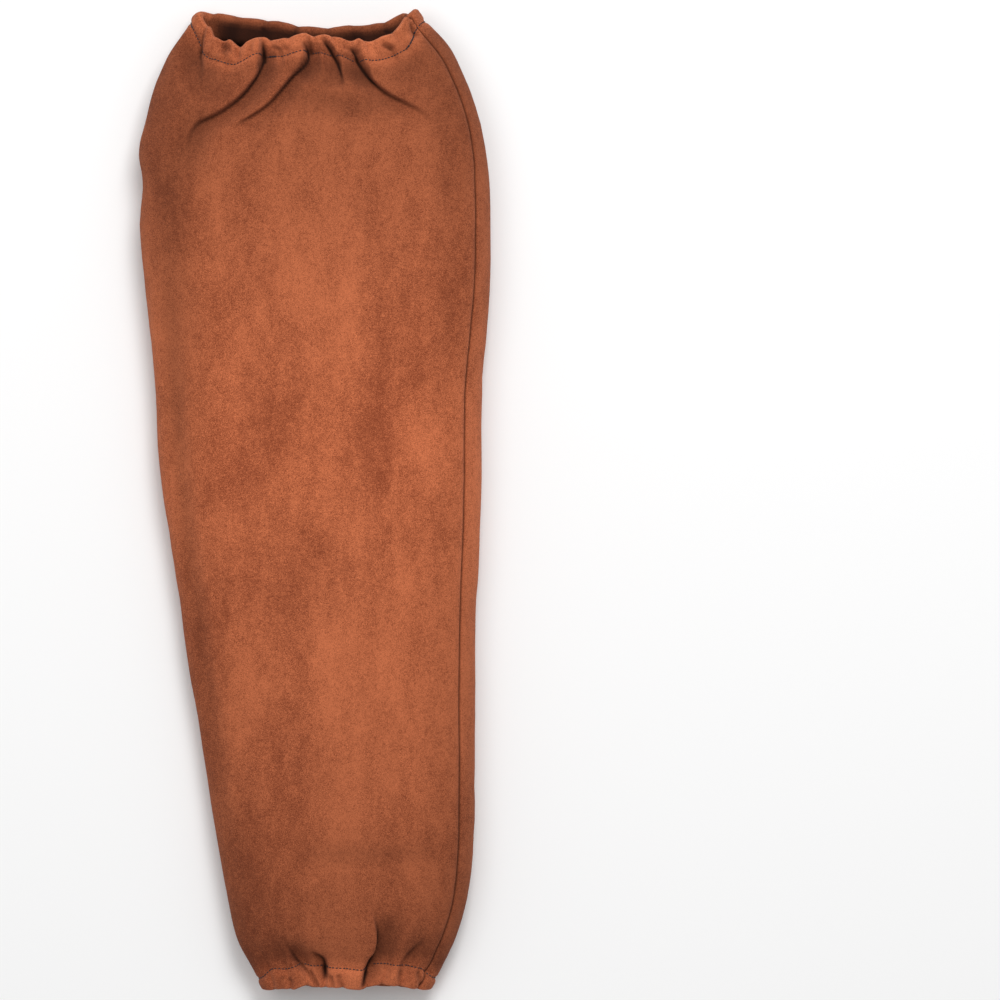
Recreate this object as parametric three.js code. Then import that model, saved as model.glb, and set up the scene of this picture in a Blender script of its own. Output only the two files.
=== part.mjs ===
// A leather sleeve for welding, lying on its flat underside: one split-leather panel closed into a tapered
// tube by a long seam, with a hem at each end that is gathered by an elastic band.
// X runs across the sleeve, Y from the wrist end to the upper arm end, and Z up.
// "Turn" is the way round the tube, counted from the seam over the top as a share of the girth.
// "Along" is the way from the wrist rim to the upper arm rim, and depth goes from the outside inwards.
import * as THREE from 'three';

// Driving dimensions, in millimetres
const SLEEVE_LENGTH = 584; // from rim to rim, at the corners of the mouths
const BODY_WIDTH = 210.6; // at the widest place, lying flat
const BODY_HEIGHT = 46; // at the highest place
const LEATHER = 1.4;
const CLEARANCE = 0.3;
const ELASTIC_WIDTH = 7;
const ELASTIC_THICKNESS = 1.1;
const STITCH_SETBACK = 3.4; // from the elastic's tunnel to the line of stitches
const HEM_TAIL = 4; // turned-in leather past the stitches
const SEAM_ALLOWANCE = 8.5;
const SEAM_GROOVE_WIDTH = 2.4;
const SEAM_GROOVE_DEPTH = 0.7;
const UPPER_RIM_DIP = 21.5; // how far the upper mouth's rim sinks between its corners
const LOWER_RIM_DIP = 3.6;
const CUFF_LIFT = 3; // the gathered ends stand clear of what the sleeve lies on
const FOLD_DEPTH = 9.5;
const FOLD_LIP_WIDTH = 5; // the steep side of a fold
const FOLD_SLOPE_WIDTH = 14; // its gentle side
const DENT_DEPTH = 2;
const DENT_WIDTH = 9;
const PUFF_HEIGHT = 2.6; // how far a hem swells out between two gathers
const RUFFLE_DEPTH = 2; // how deep the gathers run into the underside past a hem
const RUFFLE_REACH = 50;
const UPPER_GATHER_REACH = 100; // how far the folds run from the upper rim
const LOWER_GATHER_REACH = 80;

// Sizes that follow from them
const HALF_WIDTH = BODY_WIDTH / 2;
const TUNNEL_HEIGHT = ELASTIC_THICKNESS + 2 * CLEARANCE;
const TUNNEL_END = LEATHER + ELASTIC_WIDTH + 2 * CLEARANCE;
const STITCH_LINE = TUNNEL_END + STITCH_SETBACK;
const HEM_END = STITCH_LINE + HEM_TAIL;
const HEM_DEPTH = 2 * LEATHER + TUNNEL_HEIGHT;
const FLAT_HEM_DEPTH = 2 * LEATHER + CLEARANCE;
const GROOVE_HALF = SEAM_GROOVE_WIDTH / 2;

// Form of a section: the height of its widest place, the flat part of its underside, and how full its curves are
const SIDE_HEIGHT = 0.42;
const FLAT_SHARE = 0.78;
const TOP_FULLNESS = { upright: 0.8, across: 0.55 };
const UNDERSIDE_FULLNESS = { upright: 0.65, across: 0.45 };
const CUFF_LIFT_REACH = 0.1; // share of the length
const LOWER_DIP_REACH = 0.1;
const UPPER_DIP_REACH = 0.28;
const STEEPEST_WALL = 1.6; // a wall that slopes is drawn thicker, up to this factor
const STEP = 2.5; // half the span that slopes and normals are read over, in millimetres

const table = (columns, rows) =>
  rows.map((row) => Object.fromEntries(columns.map((name, index) => [name, row[index]])));

// Outline and height: along is a share of the length, left and right of half the width, height of the height
const SECTIONS = table(['along', 'left', 'right', 'height', 'seam'], [
  [0, -0.29, 0.666, 0.62, 0.835],
  [0.018, -0.34, 0.708, 0.66, 0.87],
  [0.049, -0.432, 0.79, 0.74, 0.88],
  [0.09, -0.494, 0.864, 0.78, 0.89],
  [0.141, -0.545, 0.895, 0.78, 0.89],
  [0.193, -0.591, 0.903, 0.76, 0.89],
  [0.295, -0.687, 0.909, 0.76, 0.89],
  [0.398, -0.767, 0.92, 0.78, 0.895],
  [0.5, -0.858, 0.943, 0.82, 0.897],
  [0.602, -0.903, 0.949, 0.86, 0.9],
  [0.705, -0.954, 0.989, 0.92, 0.91],
  [0.777, -0.994, 1, 0.97, 0.917],
  [0.828, -0.983, 0.994, 1, 0.922],
  [0.848, -1, 0.983, 1, 0.926],
  [0.889, -0.954, 0.937, 1, 0.93],
  [0.93, -0.892, 0.852, 0.98, 0.93],
  [0.961, -0.815, 0.764, 0.93, 0.918],
  [0.982, -0.74, 0.654, 0.88, 0.935],
  [0.992, -0.704, 0.6, 0.86, 0.945],
  [1, -0.67, 0.572, 0.84, 0.93],
]);

// Upper rim: how far each layer dips, as a share of UPPER_RIM_DIP, from the left corner (-1) to the right (1)
const UPPER_RIM = table(['across', 'front', 'back'], [
  [-1, 0, 0],
  [-0.95, 0.27, 0.02],
  [-0.85, 0.68, 0.06],
  [-0.72, 0.88, 0.13],
  [-0.6, 1, 0.18],
  [-0.39, 0.71, 0.26],
  [-0.2, 0.75, 0.35],
  [0, 0.6, 0.46],
  [0.17, 0.66, 0.48],
  [0.4, 0.83, 0.41],
  [0.55, 0.88, 0.4],
  [0.68, 0.73, 0.34],
  [0.8, 0.52, 0.2],
  [0.89, 0.2, 0.07],
  [1, 0, 0],
]);

// Lower rim, in shares of LOWER_RIM_DIP
const LOWER_RIM = table(['across', 'front', 'back'], [
  [-1, 0, 0],
  [-0.94, 0.02, 0.1],
  [-0.76, 0.3, 0.3],
  [-0.66, 0.2, 0.4],
  [-0.53, 0.8, 0.5],
  [-0.36, 0.6, 0.4],
  [-0.2, 0.65, 0.5],
  [0.05, 0.35, 0.6],
  [0.18, 0.2, 0.5],
  [0.28, 0.65, 0.5],
  [0.41, 1, 0.6],
  [0.54, 0.85, 0.5],
  [0.72, 0.5, 0.4],
  [0.86, 0.05, 0.2],
  [1, 0, 0],
]);

// Folds of the top layer. Each starts at the rim or runs to it. Across and along are shares of half the width
// and of the length, and sink is a share of FOLD_DEPTH. The steep lip lies left (1) or right (-1) of the way.
const FOLD_COLUMNS = ['across', 'along', 'sink'];
const FOLDS = [
  { lip: 1, way: [[-0.625, 0.978, 0.25], [-0.66, 0.959, 0.5], [-0.648, 0.939, 0.2], [-0.665, 0.92, 0]] },
  { lip: 1, way: [[-0.523, 0.961, 0.2], [-0.483, 0.957, 0.35], [-0.489, 0.951, 0]] },
  {
    lip: -1,
    way: [
      [-0.293, 0.967, 0.35],
      [-0.295, 0.949, 1],
      [-0.375, 0.921, 0.9],
      [-0.534, 0.894, 0.6],
      [-0.682, 0.879, 0.42],
      [-0.733, 0.853, 0],
    ],
  },
  { lip: 1, way: [[-0.182, 0.964, 0.1], [-0.159, 0.959, 0.3], [-0.176, 0.947, 0]] },
  {
    lip: -1,
    way: [
      [-0.062, 0.967, 0.2],
      [-0.034, 0.953, 1],
      [-0.131, 0.931, 0.8],
      [-0.273, 0.9, 0.6],
      [-0.42, 0.882, 0.3],
      [-0.472, 0.875, 0],
    ],
  },
  {
    lip: 1,
    way: [[0.054, 0.968, 0.2], [0.1, 0.957, 0.8], [0.125, 0.951, 0.9], [0.156, 0.934, 0.5], [0.159, 0.918, 0]],
  },
  {
    lip: 1,
    way: [[0.21, 0.961, 0.3], [0.256, 0.948, 1], [0.386, 0.918, 0.6], [0.591, 0.895, 0.25], [0.676, 0.883, 0]],
  },
  { lip: 1, way: [[0.392, 0.964, 0.18], [0.437, 0.958, 0.28], [0.472, 0.949, 0.18], [0.511, 0.94, 0]] },
  { lip: 1, way: [[0.54, 0.987, 0.18], [0.562, 0.978, 0.28], [0.574, 0.971, 0]] },
  { lip: -1, way: [[-0.159, 0.049, 0], [-0.097, 0.028, 0.6], [-0.057, 0.022, 0.5], [-0.011, 0.01, 0]] },
  { lip: 1, way: [[-0.034, 0.041, 0], [0.045, 0.032, 0.55], [0.057, 0.018, 0.48], [0.045, 0.005, 0]] },
  {
    lip: -1,
    way: [[0.358, 0.075, 0], [0.358, 0.054, 0.6], [0.33, 0.034, 0.8], [0.295, 0.02, 0.7], [0.276, 0.003, 0.2]],
  },
  { lip: -1, way: [[0.659, 0.056, 0], [0.523, 0.033, 0.25], [0.483, 0.016, 0.12], [0.48, 0.008, 0]] },
  { lip: -1, way: [[0.648, 0.034, 0], [0.597, 0.018, 0.2], [0.608, 0.009, 0]] },
];

// Shallow dents of the top layer: along the left edge, across the sleeve above the wrist, under the upper hem,
// and beside the deepest fold of the wrist
const DENTS = [
  {
    way: [
      [-0.864, 0.756, 0],
      [-0.83, 0.674, 0.5],
      [-0.795, 0.582, 1],
      [-0.739, 0.48, 0.9],
      [-0.562, 0.234, 0.5],
      [-0.466, 0.111, 0],
    ],
  },
  { way: [[-0.165, 0.154, 0], [0.034, 0.143, 0.6], [0.318, 0.141, 0.8], [0.602, 0.145, 0.6], [0.744, 0.157, 0]] },
  { way: [[-0.06, 0.94, 0.5], [0.08, 0.928, 1], [0.22, 0.932, 0.9], [0.32, 0.915, 0]] },
  { way: [[0.38, 0.078, 0], [0.42, 0.06, 1], [0.39, 0.044, 0.8], [0.36, 0.036, 0]] },
];

// Where the walls' points lie: along each stretch, and round the tube from the allowance back to the seam
const STRETCHES = { lower: { steps: 6, growth: 1.2 }, middle: { steps: 6 }, upper: { steps: 10, growth: 1.09 } };
const COLUMN_RUNS = table(['layer', 'until', 'steps'], [
  ['top', 0.46, 34],
  ['underside', 0.93, 16],
  ['right edge', 1, 4],
]);

// Gathers of the hems, as turns round the tube. Those of the top layer are read off it, and those of the
// underside lie two columns of points apart.
const TOP_GATHERS = {
  upper: [0, 0.036, 0.096, 0.16, 0.195, 0.247, 0.283, 0.345, 0.41],
  lower: [0, 0.052, 0.1, 0.139, 0.203, 0.248, 0.297, 0.343, 0.386],
};
const GATHERS = { upper: allGathers(TOP_GATHERS.upper), lower: allGathers(TOP_GATHERS.lower) };

function allGathers(topGathers) {
  const [top, underside] = COLUMN_RUNS;
  const count = underside.steps / 2;
  const spacing = (underside.until - top.until) / count;
  const below = Array.from({ length: count + 1 }, (_, index) => top.until + index * spacing);
  return [...topGathers, ...below, 1];
}

// A smooth value from a table: a curve through its rows whose slopes weigh both neighbours by their nearness
function read(rows, place, name, at) {
  const last = rows.length - 1;
  const x = THREE.MathUtils.clamp(at, rows[0][place], rows[last][place]);
  let i = 0;
  while (i < last - 1 && x > rows[i + 1][place]) i += 1;
  const rise = (k) => (rows[k + 1][name] - rows[k][name]) / (rows[k + 1][place] - rows[k][place]);
  const slope = (k) => {
    if (k === 0) return rise(0);
    if (k === last) return rise(last - 1);
    const before = rows[k][place] - rows[k - 1][place];
    const after = rows[k + 1][place] - rows[k][place];
    return (rise(k - 1) * after + rise(k) * before) / (before + after);
  };
  const span = rows[i + 1][place] - rows[i][place];
  const s = (x - rows[i][place]) / span;
  const inverse = 1 - s;
  return (
    rows[i][name] * (1 + 2 * s) * inverse * inverse +
    slope(i) * span * s * inverse * inverse +
    rows[i + 1][name] * s * s * (3 - 2 * s) -
    slope(i + 1) * span * s * s * inverse
  );
}

// 1 at the rim, 0 from reach on
function nearRim(distance, reach, power) {
  return Math.pow(THREE.MathUtils.clamp(1 - distance / reach, 0, 1), power);
}

// The section at a distance from the wrist rim: a closed path from the right edge over the top to the left
function makeSection(distance) {
  const along = distance / SLEEVE_LENGTH;
  const left = read(SECTIONS, 'along', 'left', along) * HALF_WIDTH;
  const right = read(SECTIONS, 'along', 'right', along) * HALF_WIDTH;
  const top = read(SECTIONS, 'along', 'height', along) * BODY_HEIGHT;
  const lift =
    CUFF_LIFT * Math.max(nearRim(along, CUFF_LIFT_REACH, 2), nearRim(1 - along, CUFF_LIFT_REACH, 2));
  const middle = (left + right) / 2;
  const half = (right - left) / 2;
  const side = lift + SIDE_HEIGHT * (top - lift);
  const flat = FLAT_SHARE * half;
  const point = (x, z) => new THREE.Vector2(x, z);
  const shoulder = side + (top - side) * TOP_FULLNESS.upright;
  const crown = half * TOP_FULLNESS.across;
  const bilge = side - (side - lift) * UNDERSIDE_FULLNESS.upright;
  const keel = flat + (half - flat) * UNDERSIDE_FULLNESS.across;
  const path = new THREE.CurvePath();
  path.add(new THREE.CubicBezierCurve(
    point(right, side), point(right, shoulder), point(middle + crown, top), point(middle, top),
  ));
  path.add(new THREE.CubicBezierCurve(
    point(middle, top), point(middle - crown, top), point(left, shoulder), point(left, side),
  ));
  path.add(new THREE.CubicBezierCurve(
    point(left, side), point(left, bilge), point(middle - keel, lift), point(middle - flat, lift),
  ));
  path.add(new THREE.LineCurve(point(middle - flat, lift), point(middle + flat, lift)));
  path.add(new THREE.CubicBezierCurve(
    point(middle + flat, lift), point(middle + keel, lift), point(right, bilge), point(right, side),
  ));
  const girth = path.getLength();

  // The seam lies on the first curve, which runs steadily from the right edge to the middle
  const seamX = middle + half * read(SECTIONS, 'along', 'seam', along);
  let [near, far] = [0, path.getCurveLengths()[0] / girth];
  for (let halving = 0; halving < 30; halving += 1) {
    const between = (near + far) / 2;
    if (path.getPoint(between).x > seamX) near = between;
    else far = between;
  }
  return { path, girth, middle, half, side, seam: near };
}

const madeSections = new Map();
function section(distance) {
  if (!madeSections.has(distance)) madeSections.set(distance, makeSection(distance));
  return madeSections.get(distance);
}

// A point of the smooth tube, without seam, folds or wall
function smoothPoint(turn, distance) {
  const held = THREE.MathUtils.clamp(distance, 0, SLEEVE_LENGTH);
  const { path, middle, half, side, seam } = section(held);
  const place = path.getPoint(THREE.MathUtils.euclideanModulo(seam + turn, 1));
  const across = THREE.MathUtils.clamp((place.x - middle) / half, -1, 1);
  const layer = place.y > side ? 'front' : 'back';
  const along = held / SLEEVE_LENGTH;
  const upperShare = THREE.MathUtils.smoothstep(along, 1 - UPPER_DIP_REACH, 1);
  const lowerShare = THREE.MathUtils.smoothstep(1 - along, 1 - LOWER_DIP_REACH, 1);
  const upperDip = UPPER_RIM_DIP * read(UPPER_RIM, 'across', layer, across) * upperShare;
  const lowerDip = LOWER_RIM_DIP * read(LOWER_RIM, 'across', layer, across) * lowerShare;
  return new THREE.Vector3(place.x, held - upperDip + lowerDip, place.y);
}

// A fold or dent as a curve in plan, with its depth as the curve's height
function traceWay(way) {
  const points = table(FOLD_COLUMNS, way).map(
    ({ across, along, sink }) => new THREE.Vector3(across * HALF_WIDTH, along * SLEEVE_LENGTH, sink),
  );
  return new THREE.CatmullRomCurve3(points).getPoints(6 * (points.length - 1));
}

const foldTraces = FOLDS.map(({ way, lip }) => ({ points: traceWay(way), lip }));
const dentTraces = DENTS.map(({ way }) => ({ points: traceWay(way), lip: 0 }));

// How deep a fold is at a place in plan: its own depth there, fading over its lip on one side and its slope
function sinkOf(trace, x, y, lipWidth, slopeWidth) {
  let nearest = Infinity;
  let sink = 0;
  for (let i = 1; i < trace.points.length; i += 1) {
    const from = trace.points[i - 1];
    const to = trace.points[i];
    const [dx, dy] = [to.x - from.x, to.y - from.y];
    const share = THREE.MathUtils.clamp(((x - from.x) * dx + (y - from.y) * dy) / (dx * dx + dy * dy), 0, 1);
    const [ox, oy] = [x - from.x - share * dx, y - from.y - share * dy];
    const away = Math.hypot(ox, oy);
    if (away < nearest) {
      nearest = away;
      const leftness = away > 0 ? (dx * oy - dy * ox) / (Math.hypot(dx, dy) * away) : 0;
      const width = THREE.MathUtils.lerp(slopeWidth, lipWidth, 0.5 + 0.5 * leftness * trace.lip);
      const reach = Math.min(1, away / width);
      sink = THREE.MathUtils.lerp(from.z, to.z, share) * (0.5 + 0.5 * Math.cos(Math.PI * reach));
    }
  }
  return sink;
}

// How much a hem swells at a turn: 0 at each of its gathers, and 1 midway between two
function swelling(turn, distance) {
  const gathers = distance > SLEEVE_LENGTH / 2 ? GATHERS.upper : GATHERS.lower;
  const place = THREE.MathUtils.euclideanModulo(turn, 1);
  const next = gathers.findIndex((gather) => gather > place);
  const share = (place - gathers[next - 1]) / (gathers[next] - gathers[next - 1]);
  return Math.sin(Math.PI * share);
}

// How far the leather lies outside (+) or inside (-) the smooth tube
function drape(turn, distance) {
  const held = THREE.MathUtils.clamp(distance, 0, SLEEVE_LENGTH);
  const { x, y, z } = smoothPoint(turn, held);
  const { side, girth } = section(held);
  const fromSeam = Math.abs(THREE.MathUtils.euclideanModulo(turn + 0.5, 1) - 0.5) * girth;
  const groove = SEAM_GROOVE_DEPTH * Math.max(0, 1 - fromSeam / GROOVE_HALF);
  const onTop = THREE.MathUtils.smoothstep(z, side, side * 1.4);
  const fromRim = Math.min(held, SLEEVE_LENGTH - held);
  const ruffle = (1 - swelling(turn, held)) * RUFFLE_DEPTH * nearRim(fromRim, RUFFLE_REACH, 1.5);
  if (onTop === 0) return -groove - ruffle;
  const fold = Math.max(...foldTraces.map((trace) => sinkOf(trace, x, y, FOLD_LIP_WIDTH, FOLD_SLOPE_WIDTH)));
  const dent = Math.max(...dentTraces.map((trace) => sinkOf(trace, x, y, DENT_WIDTH, DENT_WIDTH)));
  const sunk = Math.max(0, fold) * FOLD_DEPTH + Math.max(0, dent) * DENT_DEPTH;
  return -groove - onTop * sunk - (1 - onTop) * ruffle;
}

// A point of the real tube, at a depth below its outer skin, on a layer that swells with the hem or doesn't
function wallPoint(turn, distance, depth, swell) {
  const { girth } = section(distance);
  const turnStep = STEP / girth;
  const round = smoothPoint(turn + turnStep, distance).sub(smoothPoint(turn - turnStep, distance));
  const lengthwise = smoothPoint(turn, distance + STEP).sub(smoothPoint(turn, distance - STEP));
  const normal = lengthwise.clone().cross(round).normalize();
  const roundSlope = (drape(turn + turnStep, distance) - drape(turn - turnStep, distance)) / round.length();
  const longSlope = (drape(turn, distance + STEP) - drape(turn, distance - STEP)) / lengthwise.length();
  const slant = Math.min(STEEPEST_WALL, Math.hypot(1, roundSlope, longSlope));
  const swollen = swell * PUFF_HEIGHT * swelling(turn, distance);
  const outwards = drape(turn, distance) + swollen - depth * slant;
  const point = smoothPoint(turn, distance).addScaledVector(normal, outwards);
  point.z = Math.max(point.z, 0);
  return point;
}

// The turns of the columns of points at a distance from the wrist rim
function columnTurns(distance) {
  const { girth } = section(distance);
  const groove = GROOVE_HALF / girth;
  const turns = [0, groove, groove + SEAM_ALLOWANCE / girth];
  for (const { until, steps } of COLUMN_RUNS) {
    const start = turns[turns.length - 1];
    const end = until === 1 ? 1 - groove : until;
    for (let step = 1; step <= steps; step += 1) turns.push(start + ((end - start) * step) / steps);
  }
  return [...turns, 1];
}

// A closed ring round the tube. Its profile has rows of the distance from the wrist rim, the depth, and whether
// the layer swells with the hem. A lathe carries the points, and each of them then moves to its place.
function ring(profile) {
  const closed = [...profile, profile[0]].reverse();
  const rows = closed.length;
  const columns = columnTurns(0).length;
  const geometry = new THREE.LatheGeometry(
    closed.map(({ distance, depth }) => new THREE.Vector2(SLEEVE_LENGTH - depth, distance)),
    columns - 1,
  );
  const position = geometry.getAttribute('position');
  closed.forEach(({ distance, depth, swell }, row) => {
    columnTurns(distance).forEach((turn, column) => {
      const point = wallPoint(turn === 1 ? 0 : turn, distance, depth, swell);
      position.setXYZ(column * rows + row, point.x, point.y, point.z);
    });
  });
  geometry.setIndex(ringFaces(closed, columns));
  geometry.computeVertexNormals();
  return geometry;
}

// The ring's triangles. The diagonal of each four-sided face leans the same way on every layer, so that layers
// that lie on each other are split alike and keep their gap where the leather is folded.
function ringFaces(closed, columns) {
  const rows = closed.length;
  const faces = [];
  for (let column = 0; column < columns - 1; column += 1) {
    for (let row = 0; row < rows - 1; row += 1) {
      const here = column * rows + row;
      const [a, b, c, d] = [here, here + rows, here + rows + 1, here + 1];
      if (closed[row + 1].distance > closed[row].distance) faces.push(a, b, d, c, d, b);
      else faces.push(a, b, c, a, c, d);
    }
  }
  return faces;
}

// Steps from start to end, each longer than the one before by the growth
function ladder(start, end, { steps, growth = 1 }) {
  const lengths = Array.from({ length: steps }, (_, step) => growth ** step);
  const whole = lengths.reduce((sum, length) => sum + length, 0);
  let reached = 0;
  return lengths.map((length) => {
    reached += length;
    return start + ((end - start) * reached) / whole;
  });
}

// Distances from the wrist rim between the two hems, close together where the leather is gathered
function bodyDistances() {
  const upperEnd = SLEEVE_LENGTH - HEM_END;
  const upperGathers = SLEEVE_LENGTH - UPPER_GATHER_REACH;
  return [
    HEM_END,
    ...ladder(HEM_END, LOWER_GATHER_REACH, STRETCHES.lower),
    ...ladder(LOWER_GATHER_REACH, upperGathers, STRETCHES.middle),
    ...ladder(upperEnd, upperGathers, STRETCHES.upper).reverse().slice(1),
    upperEnd,
  ];
}

// A hem's section, from the outer skin round the rim and the turned-in flap to the wall's inner side
const HEM_PROFILE = table(['inset', 'depth', 'swell'], [
  [STITCH_LINE, 0, 0],
  [TUNNEL_END, 0, 0.9],
  [TUNNEL_END / 2, 0, 1],
  [LEATHER * 0.6, 0, 0.8],
  [LEATHER * 0.15, HEM_DEPTH * 0.25, 0.6],
  [0, HEM_DEPTH * 0.5, 0.4],
  [LEATHER * 0.15, HEM_DEPTH * 0.75, 0.2],
  [LEATHER * 0.6, HEM_DEPTH, 0],
  [TUNNEL_END / 2, HEM_DEPTH, 0],
  [TUNNEL_END, HEM_DEPTH, 0],
  [STITCH_LINE, FLAT_HEM_DEPTH, 0],
  [HEM_END, FLAT_HEM_DEPTH, 0],
  [HEM_END, FLAT_HEM_DEPTH - LEATHER, 0],
  [STITCH_LINE, FLAT_HEM_DEPTH - LEATHER, 0],
  [TUNNEL_END, HEM_DEPTH - LEATHER, 0],
  [TUNNEL_END / 2, HEM_DEPTH - LEATHER, 0],
  [LEATHER, HEM_DEPTH - LEATHER, 0],
  [LEATHER, LEATHER, 0.8],
  [TUNNEL_END / 2, LEATHER, 1],
  [TUNNEL_END, LEATHER, 0.9],
  [STITCH_LINE, LEATHER, 0],
]);

function leatherBody() {
  const distances = bodyDistances();
  const upperHem = HEM_PROFILE.map(({ inset, ...rest }) => ({ distance: SLEEVE_LENGTH - inset, ...rest }));
  const lowerHem = HEM_PROFILE.map(({ inset, ...rest }) => ({ distance: inset, ...rest })).reverse();
  const skin = distances.map((distance) => ({ distance, depth: 0, swell: 0 }));
  const lining = distances.map((distance) => ({ distance, depth: LEATHER, swell: 0 })).reverse();
  return ring([...skin, ...upperHem, ...lining, ...lowerHem]);
}

// An elastic band in the tunnel of the hem at the wrist or at the upper arm
function elasticBand(isUpper) {
  const insets = [LEATHER + CLEARANCE, TUNNEL_END / 2, TUNNEL_END - CLEARANCE];
  const distances = insets.map((inset) => (isUpper ? SLEEVE_LENGTH - inset : inset)).sort((a, b) => a - b);
  const outer = LEATHER + CLEARANCE;
  const outerFace = distances.map((distance) => ({ distance, depth: outer, swell: 0 }));
  const innerFace = distances.map((distance) => ({ distance, depth: outer + ELASTIC_THICKNESS, swell: 0 }));
  return ring([...outerFace, ...innerFace.reverse()]);
}

// The seam's two plies, pressed to the left of the seam inside the tube, from hem to hem
function seamAllowance() {
  const inner = bodyDistances().slice(1, -1);
  const distances = [HEM_END + CLEARANCE, ...inner, SLEEVE_LENGTH - HEM_END - CLEARANCE];
  const geometry = new THREE.BoxGeometry(1, 1, 1, 1, distances.length - 1, 1);
  const position = geometry.getAttribute('position');
  for (let i = 0; i < position.count; i += 1) {
    const distance = distances[Math.round((position.getY(i) + 0.5) * (distances.length - 1))];
    const [, near, far] = columnTurns(distance);
    const depth = LEATHER + CLEARANCE + (position.getZ(i) > 0 ? 0 : 2 * LEATHER);
    const point = wallPoint(position.getX(i) > 0 ? near : far, distance, depth, 0);
    position.setXYZ(i, point.x, point.y, point.z);
  }
  geometry.computeVertexNormals();
  return geometry;
}

const suede = new THREE.MeshStandardMaterial({ name: 'suede', color: 0xb56441, roughness: 0.95 });
const suedeEdge = new THREE.MeshStandardMaterial({ name: 'suede_edge', color: 0x86583f, roughness: 0.95 });
const elastic = new THREE.MeshStandardMaterial({ name: 'elastic', color: 0xd9d3c6, roughness: 0.9 });

function part(name, geometry, material) {
  const mesh = new THREE.Mesh(geometry, material);
  mesh.name = name;
  return mesh;
}

const sleeve = new THREE.Group();
sleeve.add(
  part('leather_body', leatherBody(), suede),
  part('upper_elastic', elasticBand(true), elastic),
  part('lower_elastic', elasticBand(false), elastic),
  part('seam_allowance', seamAllowance(), suedeEdge),
);

// The origin is the middle of the underside
const box = new THREE.Box3().setFromObject(sleeve);
sleeve.position.set(-(box.min.x + box.max.x) / 2, -(box.min.y + box.max.y) / 2, -box.min.z);

export default sleeve;
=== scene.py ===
"""A leather sleeve for welding, lying flat and seen from above.

One panel of split leather is closed into a tapered tube by a long seam. A hem at each end holds an
elastic, which gathers the leather into folds. All lengths are in metres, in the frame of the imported
solids: Y runs from the wrist end to the upper arm end, X across the sleeve towards the seam, and Z up.

A turn is the way round the tube, counted from the seam over the top as a share of the girth. A distance
is counted from the wrist rim along the sleeve, and an inset from either rim towards the middle.
"""

from __future__ import annotations

import logging
import math
from dataclasses import dataclass, field
from enum import Enum
from typing import NamedTuple

import bmesh
import bpy
import numpy as np
from bmesh.types import BMesh
from bpy.types import ID, Material, Node, NodeSocket, NodeTree as ShaderTree, Object
from mathutils import Matrix, Vector


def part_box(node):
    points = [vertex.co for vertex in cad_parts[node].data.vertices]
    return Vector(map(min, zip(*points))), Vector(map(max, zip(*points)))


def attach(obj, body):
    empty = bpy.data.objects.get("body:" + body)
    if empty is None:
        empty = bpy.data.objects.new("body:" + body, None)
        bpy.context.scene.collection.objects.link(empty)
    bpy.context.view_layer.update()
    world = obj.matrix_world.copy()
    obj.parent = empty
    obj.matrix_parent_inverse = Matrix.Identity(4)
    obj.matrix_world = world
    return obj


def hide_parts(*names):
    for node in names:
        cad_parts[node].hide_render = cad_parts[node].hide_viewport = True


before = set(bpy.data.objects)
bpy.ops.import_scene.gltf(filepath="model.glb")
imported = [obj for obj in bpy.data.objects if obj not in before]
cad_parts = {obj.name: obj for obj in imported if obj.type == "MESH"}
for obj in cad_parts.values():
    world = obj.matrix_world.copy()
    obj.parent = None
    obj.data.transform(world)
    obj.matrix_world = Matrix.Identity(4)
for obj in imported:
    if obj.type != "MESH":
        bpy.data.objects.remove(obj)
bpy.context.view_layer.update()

log = logging.getLogger("sleeve")

Array = np.ndarray
MM = 0.001


class Rim(Enum):
    """The two open ends of the sleeve."""

    WRIST = "wrist"
    UPPER_ARM = "upper_arm"


class Section(NamedTuple):
    """Outline and height at one place, in shares of the length, half the width and the height."""

    along: float
    left: float
    right: float
    height: float
    seam: float


class RimDip(NamedTuple):
    """How far a rim's front and back layer sink, from the left corner (-1) to the right (1)."""

    across: float
    front: float
    back: float


class RimBump(NamedTuple):
    """How much further the front layer's upper rim sinks at one place, in shares of the rim's dip."""

    across: float
    sink: float


class WayPoint(NamedTuple):
    """A point of a fold in plan: shares of half the width, of the length and of the fold's depth."""

    across: float
    along: float
    sink: float


@dataclass(frozen=True)
class Fold:
    """A fold of the top layer. Its steep lip lies left (1) or right (-1) of its way, or it has none (0)."""

    lip: int
    way: tuple[WayPoint, ...]


def named(kind: type, *rows: tuple[float, ...]) -> tuple:
    """Name the columns of a table's rows."""
    return tuple(kind(*row) for row in rows)


def fold(lip: int, *points: tuple[float, float, float]) -> Fold:
    """Name the columns of a fold's points."""
    return Fold(lip, named(WayPoint, *points))


def lipless(*ways: tuple[tuple[float, float, float], ...]) -> tuple[Fold, ...]:
    """Make folds without a lip."""
    return tuple(fold(0, *points) for points in ways)


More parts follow.
